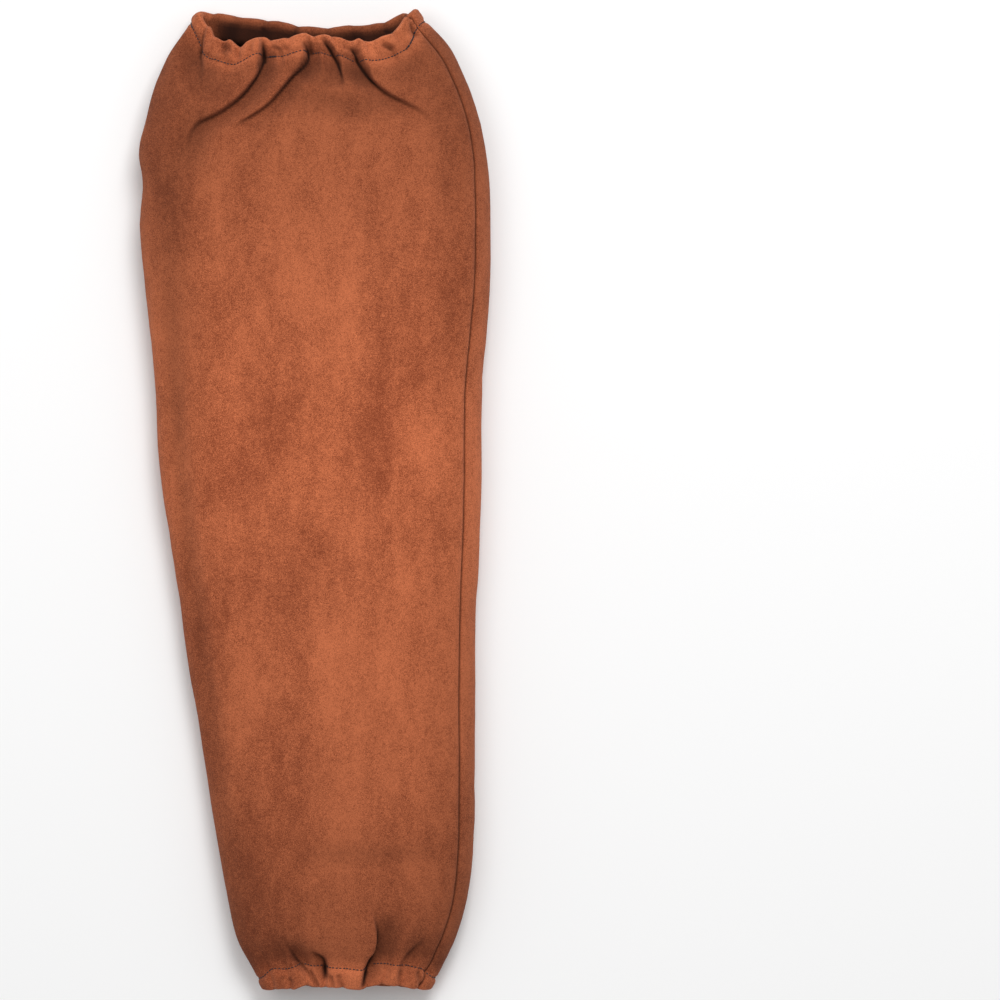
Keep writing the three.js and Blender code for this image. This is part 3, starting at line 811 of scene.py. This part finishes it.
    def surface(self, layer: Layer) -> tuple[Array, Array, Array]:
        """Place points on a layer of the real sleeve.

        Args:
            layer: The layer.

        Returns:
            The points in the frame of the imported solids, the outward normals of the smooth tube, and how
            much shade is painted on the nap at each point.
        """
        turns, distances, depths, swells = layer
        du = self.step / self.sections(distances).girth
        around = self.smooth(turns + du, distances) - self.smooth(turns - du, distances)
        onward = self.smooth(turns, distances + self.step) - self.smooth(turns, distances - self.step)
        normal = np.cross(onward, around)
        normal /= np.linalg.norm(normal, axis=2, keepdims=True)
        drape = self.drape(turns, distances)
        swell = self.swelling(turns, distances) ** self.puff_power
        outward = drape.outside + swells[:, None] * self.puff_height * swell * drape.puff
        outward = outward - depths[:, None] * self.slant(layer, around, onward)
        flap = (depths > 0) * (self.inset(distances) > self.flap_start * self.tunnel_end)
        outward = outward - flap[:, None] * drape.slack * self.flap_slack
        outward = outward - self.rounding(layer, drape.outside)
        points = self.smooth(turns, distances) + normal * outward[..., None]
        points[..., 0] += drape.push_x
        points[..., 1] += drape.push_y - self.length / 2
        points[..., 2] = np.maximum(points[..., 2], 0)
        return points, normal, drape.shade

    def rounding(self, layer: Layer, outside: Array) -> Array:
        """Say how far a layer keeps off the skin by a fold, where it bulges instead of following.

        Args:
            layer: The layer.
            outside: How far the skin lies off the smooth tube.

        Returns:
            How much deeper each point lies.
        """
        result = np.zeros_like(layer.turns)
        below = layer.depths > 0
        if not below.any():
            return result
        turns, distances, depths = (part[below] for part in layer[:3])
        du = self.step / self.sections(distances).girth
        lowest = outside[below]
        for steps in (-3, -2, -1, 1, 2, 3):
            beside = self.drape(turns + steps * du, distances).outside
            lowest = np.minimum(lowest, beside + self.bulge * steps**2)
        follow = np.clip(2 * depths[:, None] / self.hem_depth, 0, 1)
        result[below] = (outside[below] - lowest) * follow
        return result

    def slant(self, layer: Layer, around: Array, onward: Array) -> Array:
        """Thicken what lies below a slanting skin, so that layers keep their distance there.

        Args:
            layer: The layer.
            around: Two steps round the smooth tube.
            onward: Two steps along it.

        Returns:
            How many times deeper each point lies.
        """
        turns, distances = layer.turns, layer.distances
        if not layer.depths.any():
            return np.ones_like(turns)
        du, dv = self.step / self.sections(distances).girth, self.step
        rise = self.drape(turns + du, distances).outside - self.drape(turns - du, distances).outside
        climb = self.drape(turns, distances + dv).outside - self.drape(turns, distances - dv).outside
        rise = rise / np.linalg.norm(around, axis=2)
        climb = climb / np.linalg.norm(onward, axis=2)
        return np.minimum(self.steepest_slant, np.sqrt(1 + rise**2 + climb**2))


class NodeTree:
    """A short way to lay and join shader nodes."""

    def __init__(self, tree: ShaderTree) -> None:
        """Take the tree that the nodes go into."""
        self.tree = tree

    def feed(self, node: Node, **values: object) -> Node:
        """Set a node's properties and inputs.

        Args:
            node: The node.
            values: Its properties, and its inputs' values or the sockets that feed them, by their names
                with underscores for spaces.

        Returns:
            The node.
        """
        for name, value in values.items():
            if hasattr(node, name):
                setattr(node, name, value)
                continue
            key = int(name[1:]) if name[1:].isdigit() else name.replace("_", " ")
            socket = node.inputs[key]
            if isinstance(value, NodeSocket):
                self.tree.links.new(value, socket)
            else:
                socket.default_value = value
        return node

    def add(self, kind: str, **values: object) -> Node:
        """Lay a node and set it."""
        return self.feed(self.tree.nodes.new(kind), **values)

    def math(self, operation: str, first: object, second: object = 0.0, clamp: bool = False) -> NodeSocket:
        """Lay a Math node and give its result."""
        node = self.add("ShaderNodeMath", operation=operation, use_clamp=clamp, i0=first, i1=second)
        return node.outputs[0]

    def weigh(self, *shares: tuple[NodeSocket, float]) -> NodeSocket:
        """Add up values, each times its share."""
        total, *others = (self.math("MULTIPLY", value, share) for value, share in shares)
        for other in others:
            total = self.math("ADD", total, other)
        return total

    def blend(self, factor: object, first: object, second: object) -> NodeSocket:
        """Lay a colour Mix node and give its result."""
        return self.add("ShaderNodeMix", data_type="RGBA", i0=factor, i6=first, i7=second).outputs[2]

    def noise(self, at: object, scale: object, detail: float, rough: float, warp: float = 0) -> NodeSocket:
        """Lay a Noise node and give its value."""
        values = {"Vector": at, "Scale": scale, "Detail": detail, "Roughness": rough, "Distortion": warp}
        return self.add("ShaderNodeTexNoise", **values).outputs[0]

    def spread(self, value: NodeSocket, low: float, high: float) -> NodeSocket:
        """Stretch a value so that low becomes 0 and high becomes 1."""
        return self.add("ShaderNodeMapRange", Value=value, From_Min=low, From_Max=high).outputs[0]

    def bump(self, height: NodeSocket, strength: float, distance: float) -> NodeSocket:
        """Lay a Bump node and give its normal."""
        return self.add("ShaderNodeBump", Strength=strength, Distance=distance, Height=height).outputs[0]


class ValueGroup(NodeTree):
    """A shader node group that takes a vector and values, and puts out values."""

    def __init__(self, name: str, outputs: tuple[str, ...], **inputs: float) -> None:
        """Start the group.

        Args:
            name: The group's name.
            outputs: Names of its outputs.
            inputs: Names and defaults of its value inputs.
        """
        super().__init__(bpy.data.node_groups.new(name, "ShaderNodeTree"))
        sockets = self.tree.interface
        sockets.new_socket("Vector", in_out="INPUT", socket_type="NodeSocketVector")
        for label, default in inputs.items():
            sockets.new_socket(label, in_out="INPUT", socket_type="NodeSocketFloat").default_value = default
        for label in outputs:
            sockets.new_socket(label, in_out="OUTPUT", socket_type="NodeSocketFloat")
        self.start = self.add("NodeGroupInput").outputs
        self.end = self.add("NodeGroupOutput")


class LeatherEffects:
    """The shared effects of split leather: the nap's grain, and the mottling of the hide."""

    def __init__(self) -> None:
        """Build both node groups."""
        self.nap = self.build_nap()
        self.mottle = self.build_mottle()

    def build_nap(self) -> ShaderTree:
        """Build the grain of short fibres: clumps of them, the fibres themselves, and tufts."""
        lay = ValueGroup("nap", ("Grain", "Height"), Scale=900.0)
        place, scale = lay.start["Vector"], lay.start["Scale"]
        clumps = lay.noise(place, scale, 4.0, 0.65)
        fibres = lay.noise(place, lay.math("MULTIPLY", scale, 2.6), 3.0, 0.7, 0.8)
        tufts = lay.noise(place, lay.math("MULTIPLY", scale, 0.35), 3.0, 0.6)
        mixed = lay.weigh((clumps, 0.2), (fibres, 0.7), (tufts, 0.1))
        lay.feed(lay.end, Grain=lay.spread(mixed, 0.38, 0.62), Height=mixed)
        return lay.tree

    def build_mottle(self) -> ShaderTree:
        """Build the hide's cloudy patches, and the streaks where the nap is brushed."""
        lay = ValueGroup("mottle", ("Broad", "Cloud", "Patch"))
        place = lay.start["Vector"]
        brushed = lay.add("ShaderNodeMapping", Vector=place, Scale=(1.3, 0.5, 1.0)).outputs[0]
        stretched = lay.add("ShaderNodeMapping", Vector=place, Scale=(1.5, 0.8, 1.0)).outputs[0]
        noises = {
            "Broad": lay.noise(brushed, 9.0, 2.0, 0.5),
            "Cloud": lay.noise(brushed, 26.0, 3.0, 0.5, 0.3),
            "Patch": lay.noise(stretched, 95.0, 4.0, 0.6, 0.6),
        }
        lay.feed(lay.end, **{name: lay.spread(noise, 0.33, 0.67) for name, noise in noises.items()})
        return lay.tree


def new_material(name: str) -> tuple[Material, NodeTree, Node]:
    """Start a material that has a Principled shader.

    Args:
        name: The material's name.

    Returns:
        The material, the tool that lays its nodes, and its Principled shader.
    """
    material = bpy.data.materials.new(name)
    material.use_nodes = True
    tree = material.node_tree
    return material, NodeTree(tree), tree.nodes["Principled BSDF"]


@dataclass(frozen=True)
class SuedeFinish:
    """Napped split leather, in the colours of one of its sides, and the colour of the shade painted on it.
    """

    name: str
    light: tuple[float, float, float]
    dark: tuple[float, float, float]
    # The colour mixed in as painted shade where the painted shade attribute is high.
    fold: tuple[float, float, float]
    grain_share: float = 1.85
    patch_share: float = 0.3
    cloud_share: float = 0.46
    broad_share: float = 0.4
    grain_scale: float = 1150.0
    bump: float = 0.75
    sheen: float = 0.18

    def make(self, effects: LeatherEffects) -> Material:
        """Build the material.

        Args:
            effects: The shared leather effects.

        Returns:
            The material.
        """
        material, lay, shader = new_material(self.name)
        place = lay.add("ShaderNodeTexCoord").outputs["Object"]
        nap = lay.add("ShaderNodeGroup", node_tree=effects.nap, Vector=place, Scale=self.grain_scale).outputs
        mottle = lay.add("ShaderNodeGroup", node_tree=effects.mottle, Vector=place).outputs
        painted_shade = lay.add("ShaderNodeAttribute", attribute_name="painted_shade").outputs["Fac"]
        tone = lay.weigh(
            (nap["Grain"], self.grain_share),
            (mottle["Patch"], self.patch_share),
            (mottle["Cloud"], self.cloud_share),
            (mottle["Broad"], self.broad_share),
        )
        spare = (self.grain_share + self.patch_share + self.cloud_share + self.broad_share - 1) / 2
        base = lay.blend(lay.math("SUBTRACT", tone, spare, clamp=True), (*self.dark, 1), (*self.light, 1))
        # Painted shade: the attribute mixes the fold colour into the base colour, and the sheen is turned
        # down there.
        sheen = lay.math("MULTIPLY", lay.math("SUBTRACT", 1.0, painted_shade, clamp=True), self.sheen)
        lay.feed(
            shader,
            Base_Color=lay.blend(painted_shade, base, (*self.fold, 1)),
            Normal=lay.bump(nap["Height"], self.bump, 0.6 * MM),
            Roughness=0.95,
            Specular_IOR_Level=0.12,
            Sheen_Weight=sheen,
            Sheen_Roughness=0.6,
            Sheen_Tint=(0.9, 0.55, 0.4, 1),
        )
        return material


@dataclass(frozen=True)
class ThreadFinish:
    """Dark twisted sewing thread."""

    name: str = "thread"
    colour: tuple[float, float, float] = (0.006, 0.006, 0.010)
    fluff: tuple[float, float, float] = (0.02, 0.02, 0.028)
    strands: float = 2600.0

    def make(self) -> Material:
        """Build the material: slanting strands across the thread."""
        material, lay, shader = new_material(self.name)
        place = lay.add("ShaderNodeTexCoord").outputs["Object"]
        turned = lay.add("ShaderNodeMapping", Vector=place, Rotation=(0.5, 0.4, 0.6)).outputs[0]
        wave = lay.add("ShaderNodeTexWave", Vector=turned, Scale=self.strands, Distortion=1.5, Detail=2.0)
        height = wave.outputs[1]
        base = lay.blend(height, (*self.colour, 1), (*self.fluff, 1))
        lay.feed(shader, Base_Color=base, Normal=lay.bump(height, 0.4, 0.1 * MM), Roughness=0.7)
        return material


@dataclass(frozen=True)
class ElasticFinish:
    """Woven elastic, with ribs across the band and yarn along it, on the band's own UV map."""

    name: str = "elastic"
    yarn: tuple[float, float, float] = (0.62, 0.58, 0.5)
    gap: tuple[float, float, float] = (0.28, 0.25, 0.21)
    ribs: float = 190.0
    rows: float = 9.0

    def make(self) -> Material:
        """Build the material."""
        material, lay, shader = new_material(self.name)
        place = lay.add("ShaderNodeTexCoord").outputs["UV"]
        split = lay.add("ShaderNodeSeparateXYZ", Vector=place).outputs
        threads = (
            lay.math("ABSOLUTE", lay.math("SINE", lay.math("MULTIPLY", split[axis], count * math.pi)))
            for axis, count in enumerate((self.ribs, self.rows))
        )
        weave = lay.math("MULTIPLY", *threads)
        base = lay.blend(weave, (*self.gap, 1), (*self.yarn, 1))
        lay.feed(shader, Base_Color=base, Normal=lay.bump(weave, 0.6, 0.2 * MM), Roughness=0.85)
        return material


def add_object(name: str, data: ID) -> Object:
    """Put an object into the scene."""
    result = bpy.data.objects.new(name, data)
    bpy.context.scene.collection.objects.link(result)
    return result


def add_piece(name: str, bm: BMesh, *materials: Material) -> Object:
    """Turn a finished bmesh into an object of the scene.

    Args:
        name: The object's name.
        bm: The bmesh, which is freed.
        materials: The materials of the object's slots.

    Returns:
        The object.
    """
    mesh = bpy.data.meshes.new(name)
    bm.to_mesh(mesh)
    bm.free()
    for material in materials:
        mesh.materials.append(material)
    return add_object(name, mesh)


@dataclass
class GridLayout:
    """Rows and columns of points that a flat grid is wrapped to."""

    points: Array
    creases: Array
    map_u: Array
    map_v: Array
    closed: bool = True
    same_place: float = 0.001 * MM

    def build(self, name: str, *materials: Material) -> Object:
        """Wrap a flat grid to the points, and sew its side edges together if it goes all the way round.

        Args:
            name: The new object's name.
            materials: The materials of its slots.

        Returns:
            The object, with a UV map and the attribute that holds the painted shade.
        """
        rows, columns = self.points.shape[:2]
        bm = bmesh.new()
        bmesh.ops.create_grid(bm, x_segments=columns - 1, y_segments=rows - 1, size=1.0)
        painted_shade = bm.verts.layers.float.new("painted_shade")
        uv = bm.loops.layers.uv.new("UVMap")
        places = {}
        for vert in bm.verts:
            column = round((vert.co.x + 1) / 2 * (columns - 1))
            row = round((vert.co.y + 1) / 2 * (rows - 1))
            places[vert] = (row, column)
        for face in bm.faces:
            face.smooth = True
            for loop in face.loops:
                place = places[loop.vert]
                loop[uv].uv = (self.map_u[place], self.map_v[place])
        for vert, place in places.items():
            vert.co = self.points[place]
            vert[painted_shade] = self.creases[place]
        if self.closed:
            edge = [vert for vert, (_, column) in places.items() if column in (0, columns - 1)]
            bmesh.ops.remove_doubles(bm, verts=edge, dist=self.same_place)
        bmesh.ops.reverse_faces(bm, faces=bm.faces)
        return add_piece(name, bm, *materials)


def thicken(piece: Object, thickness: float, inner_slot: int = 0) -> None:
    """Give a skin its wall, inwards from its outer side.

    Args:
        piece: The skin.
        thickness: The wall's thickness.
        inner_slot: How many material slots further on the inner side's material is.
    """
    wall = piece.modifiers.new("wall", "SOLIDIFY")
    wall.thickness = thickness
    wall.offset = -1
    wall.use_rim = True
    wall.material_offset = inner_slot
    wall.material_offset_rim = inner_slot


@dataclass
class LeatherPanel:
    """The sleeve's one panel of leather, from one turned-in hem over the outside to the other."""

    form: SleeveForm
    top_columns: int = 184
    underside_columns: int = 46
    edge_columns: int = 12
    top_end: float = 0.46
    underside_end: float = 0.93
    seam_offsets: tuple[float, ...] = (0.0, 0.35 * MM, 0.7 * MM, 1.05 * MM, 1.4 * MM, 2.1 * MM)
    gather_rows: tuple[int, int] = (34, 62)
    gather_reaches: tuple[float, float] = (72 * MM, 108 * MM)
    body_rows: int = 40
    outer_rows: int = 10
    turn_rows: int = 6
    rim_swell: float = 0.8
    hem_swell: float = 0.92
    swell_start: float = 0.18
    swell_power: float = 2.2
    # Painted shade inside the tube: on the turned-in flap and its rim, at the gathers, the share of the
    # outside's shade that the inner side takes, and how much lighter the lit corners stay.
    shaded_flap: float = 0.97
    shaded_rim: float = 0.55
    shade_span: tuple[float, float] = (1.5 * MM, 6 * MM)
    shaded_gather: float = 0.3
    shared_shade: float = 0.5
    lit_corner: float = 0.6
    corner_span: tuple[float, float] = (0.52, 0.64)

    def hem_rows(self) -> list[tuple[float, float, float]]:
        """List a hem's rows, from the end of the turned-in flap round the rim to the stitches.

        Returns:
            Inset, depth and swell of each row.
        """
        form = self.form
        flat, deep = 2 * form.leather + form.clearance, form.hem_depth
        radius = deep / 2
        rows = [(form.hem_end, flat, 0.0), (form.stitch_line, flat, 0.0)]
        rows += [(form.tunnel_end * share, deep, 0.0) for share in (1, 0.75, 0.5)]
        for step in range(self.turn_rows + 1):
            angle = math.pi * step / self.turn_rows
            depth = radius * (1 + math.cos(angle))
            rows.append((radius * (1 - math.sin(angle)), depth, self.rim_swell * (1 - depth / deep)))
        for step in range(1, self.outer_rows + 1):
            share = step / self.outer_rows
            place = self.swell_start + (1 - self.swell_start) * share
            swell = self.hem_swell * (1 - abs(2 * place - 1) ** self.swell_power)
            swell += (1 - self.hem_swell) * (1 - share)
            rows.append((radius + (form.stitch_line - radius) * share, 0.0, swell))
        return rows

    def rows(self) -> Array:
        """List distance, depth, swell and way along the skin for every row of points."""
        form = self.form
        lower = self.hem_rows()
        upper = [(form.length - inset, depth, swell) for inset, depth, swell in reversed(lower)]
        start, end = form.stitch_line, form.length - form.stitch_line
        first, last = self.gather_reaches[0], form.length - self.gather_reaches[1]
        body = list(np.linspace(start, first, self.gather_rows[0] + 1)[1:])
        body += list(np.linspace(first, last, self.body_rows + 1)[1:])
        body += list(np.linspace(last, end, self.gather_rows[1] + 1)[1:-1])
        table = np.array(lower + [(distance, 0.0, 0.0) for distance in body] + upper)
        ways = running_sum(np.hypot(np.diff(table[:, 0]), np.diff(table[:, 1])))
        return np.column_stack([table, ways])

    def turns(self, girths: Array) -> Array:
        """Give every row its turns, with columns close to the seam at fixed widths from it."""
        near = np.array(self.seam_offsets)[None, :] / girths
        far = 1 - near[:, :0:-1]
        start, end = near[:, -1:], 1 - near[:, -1:]
        runs = []
        for low, high, count in (
            (start, self.top_end, self.top_columns),
            (self.top_end, self.underside_end, self.underside_columns),
            (self.underside_end, end, self.edge_columns),
        ):
            steps = np.arange(1, count + 1)[None, :] / count
            runs.append(low + (high - low) * steps * np.ones_like(start))
        return np.concatenate([near, *runs, far[:, 1:], np.ones_like(start)], axis=1)

    def creases(self, layer: Layer, points: Array, shade: Array) -> Array:
        """Say how much shade is painted on the nap, outside and inside the tube.

        Args:
            layer: The panel's rows.
            points: The panel's points.
            shade: How much shade the folds paint on the nap.

        Returns:
            How much shade is painted at each point.
        """
        form = self.form
        # Painted shade inside the tube: the turned-in hem is darker from just inside its rim, the gathers
        # are darker on the inner side, and the corners are lighter where light reaches in.
        inside = layer.depths[:, None] > 0
        turned_in = smoothstep(form.inset(layer.distances), *self.shade_span)
        turned_in = self.shaded_rim + (1 - self.shaded_rim) * turned_in
        turned_in = self.shaded_flap * turned_in * np.clip(2 * layer.depths / form.hem_depth, 0, 1)
        gathered = self.shaded_gather * (1 - form.swelling(*layer[:2])) ** 4 * inside
        corner = smoothstep(np.abs(points[..., 0] / form.half_width), *self.corner_span)
        dark = np.minimum(1, turned_in[:, None] + gathered) * (1 - self.lit_corner * corner)
        return np.maximum(np.where(inside, self.shared_shade * shade, shade), dark)

    def build(self, outside: Material, inside: Material) -> Object:
        """Build the panel.

        Args:
            outside: The outer side's material.
            inside: The inner side's material.

        Returns:
            The panel.
        """
        distances, depths, swells, ways = self.rows().T
        girths = self.form.sections(distances).girth
        turns = self.turns(girths)
        layer = Layer(turns, distances, depths, swells)
        points, _, shade = self.form.surface(layer)
        points[:, -1] = points[:, 0]
        creases = self.creases(layer, points, shade)
        layout = GridLayout(points, creases, turns * girths, ways[:, None] + 0 * turns)
        panel = layout.build("leather_sleeve", outside, inside)
        thicken(panel, self.form.leather, 1)
        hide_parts("leather_body")
        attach(panel, "root")
        log.info("leather_sleeve: %d rows of %d points", *turns.shape)
        return panel


@dataclass
class ElasticBand:
    """The elastic in one hem's tunnel."""

    form: SleeveForm
    rim: Rim
    columns: int = 170
    rows: int = 5

    def build(self, material: Material) -> Object:
        """Build the band.

        Args:
            material: The elastic's material.

        Returns:
            The band.
        """
        form = self.form
        start = form.leather + form.clearance
        distances = np.linspace(start, start + form.elastic_width, self.rows)
        node = "lower_elastic"
        if self.rim is Rim.UPPER_ARM:
            distances = np.sort(form.length - distances)
            node = "upper_elastic"
        turns = np.linspace(0, 1, self.columns + 1)[None, :] + np.zeros((self.rows, 1))
        points, _, _ = form.surface(Layer.even(turns, distances, start))
        points[:, -1] = points[:, 0]
        across = np.linspace(0, 1, self.rows)[:, None] + 0 * turns
        band = GridLayout(points, np.zeros_like(turns), turns, across).build(f"{node}_band", material)
        thicken(band, form.elastic_thickness)
        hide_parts(node)
        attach(band, "root")
        log.info("%s: %d columns of points", band.name, self.columns)
        return band


@dataclass
class SeamAllowance:
    """The seam's two plies inside the tube."""

    form: SleeveForm
    rows: int = 90
    columns: int = 6
    pressed_by: float = 0.2 * MM
    set_back: float = 0.6 * MM
    unevenness: float = 0.5 * MM
    ply_gap: float = 0.1 * MM

    def build(self, material: Material) -> list[Object]:
        """Build both plies.

        Args:
            material: The leather's material.

        Returns:
            The plies, the one against the panel first.
        """
        form = self.form
        end = form.hem_end + form.clearance
        distances = np.linspace(end, form.length - end, self.rows)
        girth = form.sections(distances).girth
        thickness = form.leather - self.pressed_by
        edge = self.unevenness * Waviness(21, 40, 1).read(distances / form.length, distances * 0)[:, None]
        plies = []
        for ply in range(2):
            width = form.allowance - ply * self.set_back + edge
            offsets = form.seam_half + np.linspace(0, 1, self.columns)[None, :] * width
            turns = offsets / girth
            depth = form.leather + form.clearance + ply * (thickness + self.ply_gap)
            points, _, _ = form.surface(Layer.even(turns, distances, depth))
            ways = distances[:, None] + 0 * turns
            layout = GridLayout(points, np.zeros_like(turns), offsets, ways, closed=False)
            piece = layout.build(f"seam_ply_{ply + 1}", material)
            thicken(piece, thickness)
            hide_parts("seam_allowance")
            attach(piece, "root")
            log.info("%s: %d rows", piece.name, self.rows)
            plies.append(piece)
        return plies


@dataclass
class HemStitches:
    """One hem's row of stitches, each a short piece of thread that dips into the leather at both ends.

    Stitches at the bottom of a fold are shut inside it, and are left out. Where the seam starts and ends
    it is sewn twice, which makes the thread thick there.
    """

    form: SleeveForm
    rim: Rim
    pitch: float = 2.1 * MM
    wander: float = 0.08
    length: float = 1.55 * MM
    radius: float = 0.42 * MM
    flatness: float = 0.8
    raised: float = 0.55
    sides: int = 6
    rings: int = 6
    samples: int = 1600
    shut: float = 0.62
    tacks: tuple[float, ...] = (-0.716, -0.233, 0.551)
    tack_reach: float = 0.022
    tack_height: float = 0.42
    tack_size: float = 1.5

    def build(self, material: Material) -> Object:
        """Build the row of stitches.

        Args:
            material: The thread's material.

        Returns:
            The stitches, joined in one mesh.
        """
        form = self.form
        upper = self.rim is Rim.UPPER_ARM
        distance = np.array([form.length - form.stitch_line if upper else form.stitch_line])
        fine = np.linspace(0, 1, self.samples)[None, :]
        line, up, shade = (found[0] for found in form.surface(Layer.even(fine, distance, 0)))
        ways = running_sum(np.linalg.norm(np.diff(line, axis=0), axis=1))
        count = int(ways[-1] / self.pitch)
        rng = np.random.default_rng(11 if upper else 12)
        bm = bmesh.new()
        for index in range(count):
            at = (index + 0.5 + rng.uniform(-self.wander, self.wander)) * ways[-1] / count
            if np.interp(at, ways, shade) > self.shut:
                continue
            ends = at + np.array([-0.5, 0.5]) * self.length
            first, second = (np.array([np.interp(e, ways, line[:, k]) for k in range(3)]) for e in ends)
            normal = Vector(up[min(int(np.searchsorted(ways, at)), len(up) - 1)])
            tangent = Vector(second - first).normalized()
            side = tangent.cross(normal).normalized()
            normal = side.cross(tangent)
            middle = Vector((first + second) / 2) + normal * self.radius * self.raised
            across = np.abs(middle.x / form.half_width - np.array(self.tacks)).min()
            sewn_twice = upper and middle.z > self.tack_height * form.height and across < self.tack_reach
            scale = self.tack_size if sewn_twice else 1.0
            half, thick = scale * self.length / 2, scale * self.radius
            turn = Matrix((tangent, side, normal)).transposed().to_4x4()
            size = Matrix.Diagonal((half, thick, thick * self.flatness, 1))
            bmesh.ops.create_uvsphere(
                bm,
                u_segments=self.sides,
                v_segments=self.rings,
                radius=1.0,
                matrix=Matrix.Translation(middle) @ turn @ size @ Matrix.Rotation(math.pi / 2, 4, "Y"),
            )
        for face in bm.faces:
            face.smooth = True
        piece = add_piece(f"{self.rim.value}_hem_stitches", bm, material)
        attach(piece, "root")
        log.info("%s: at most %d stitches", piece.name, count)
        return piece


@dataclass
class Studio:
    """The pale floor, the soft lights and the camera straight above."""

    picture_width: float = 0.5946
    picture_middle: float = 0.11005
    camera_height: float = 6.0
    focus_height: float = 0.02
    floor_side: float = 6.0
    floor_gap: float = 0.3 * MM
    film: float = 36
    sky: float = 0.47

    def build(self) -> None:
        """Build the floor, the lights and the camera."""
        self.build_floor()
        self.build_light("key", (0.45, 1.35, 2.0), 1.1, 36)
        self.build_light("fill", (-0.9, 0.4, 2.4), 1.6, 12)
        world = bpy.data.worlds.new("studio")
        world.use_nodes = True
        background = world.node_tree.nodes["Background"]
        background.inputs["Color"].default_value = (1, 1, 1, 1)
        background.inputs["Strength"].default_value = self.sky
        bpy.context.scene.world = world
        bpy.context.scene.view_settings.view_transform = "Standard"
        self.build_camera()

    def build_floor(self) -> None:
        """Build the floor, a little below the sleeve so that the two don't touch."""
        bm = bmesh.new()
        bmesh.ops.create_grid(bm, x_segments=1, y_segments=1, size=self.floor_side / 2)
        bmesh.ops.translate(bm, verts=bm.verts, vec=(0, 0, -self.floor_gap))
        material, lay, shader = new_material("floor")
        lay.feed(shader, Base_Color=(0.92, 0.92, 0.92, 1), Roughness=0.9)
        floor = add_piece("floor", bm, material)

    def build_light(self, name: str, place: tuple[float, float, float], side: float, power: float) -> None:
        """Build a square soft light that points at the sleeve."""
        data = bpy.data.lights.new(name, "AREA")
        data.shape = "SQUARE"
        data.size = side
        data.energy = power
        light = add_object(name, data)
        light.location = place
        light.rotation_euler = (-Vector(place)).to_track_quat("-Z", "Y").to_euler()

    def build_camera(self) -> None:
        """Build the camera, which looks straight down on the middle of the picture."""
        data = bpy.data.cameras.new("camera")
        data.sensor_width = self.film
        data.lens = self.film * (self.camera_height - self.focus_height) / self.picture_width
        data.clip_end = 20
        camera = add_object("camera", data)
        camera.location = (self.picture_middle, 0, self.camera_height)
        bpy.context.scene.camera = camera


def main() -> None:
    """Build every piece of the sleeve and the studio around it."""
    logging.basicConfig(level=logging.INFO, format="%(name)s %(message)s")
    Studio().build()
    low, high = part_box("leather_body")
    form = SleeveForm(length=high[1] - low[1], half_width=(high[0] - low[0]) / 2, height=high[2] - low[2])
    effects = LeatherEffects()
    # Each fold colour is the painted shade, mixed in where the painted shade attribute is high.
    outside = SuedeFinish(
        "suede", light=(0.715, 0.198, 0.08), dark=(0.228, 0.046, 0.016), fold=(0.026, 0.0085, 0.005)
    ).make(effects)
    # The inner side is less red than the outer one, and its colours are darkened further to paint the shade
    # inside the tube.
    inside = SuedeFinish(
        "suede_inside", light=(0.08, 0.034, 0.022), dark=(0.03, 0.014, 0.01), fold=(0.016, 0.008, 0.006)
    ).make(effects)
    elastic = ElasticFinish().make()
    thread = ThreadFinish().make()
    LeatherPanel(form).build(outside, inside)
    for rim in Rim:
        ElasticBand(form, rim).build(elastic)
        HemStitches(form, rim).build(thread)
    SeamAllowance(form).build(inside)


if __name__ == "__main__":
    main()
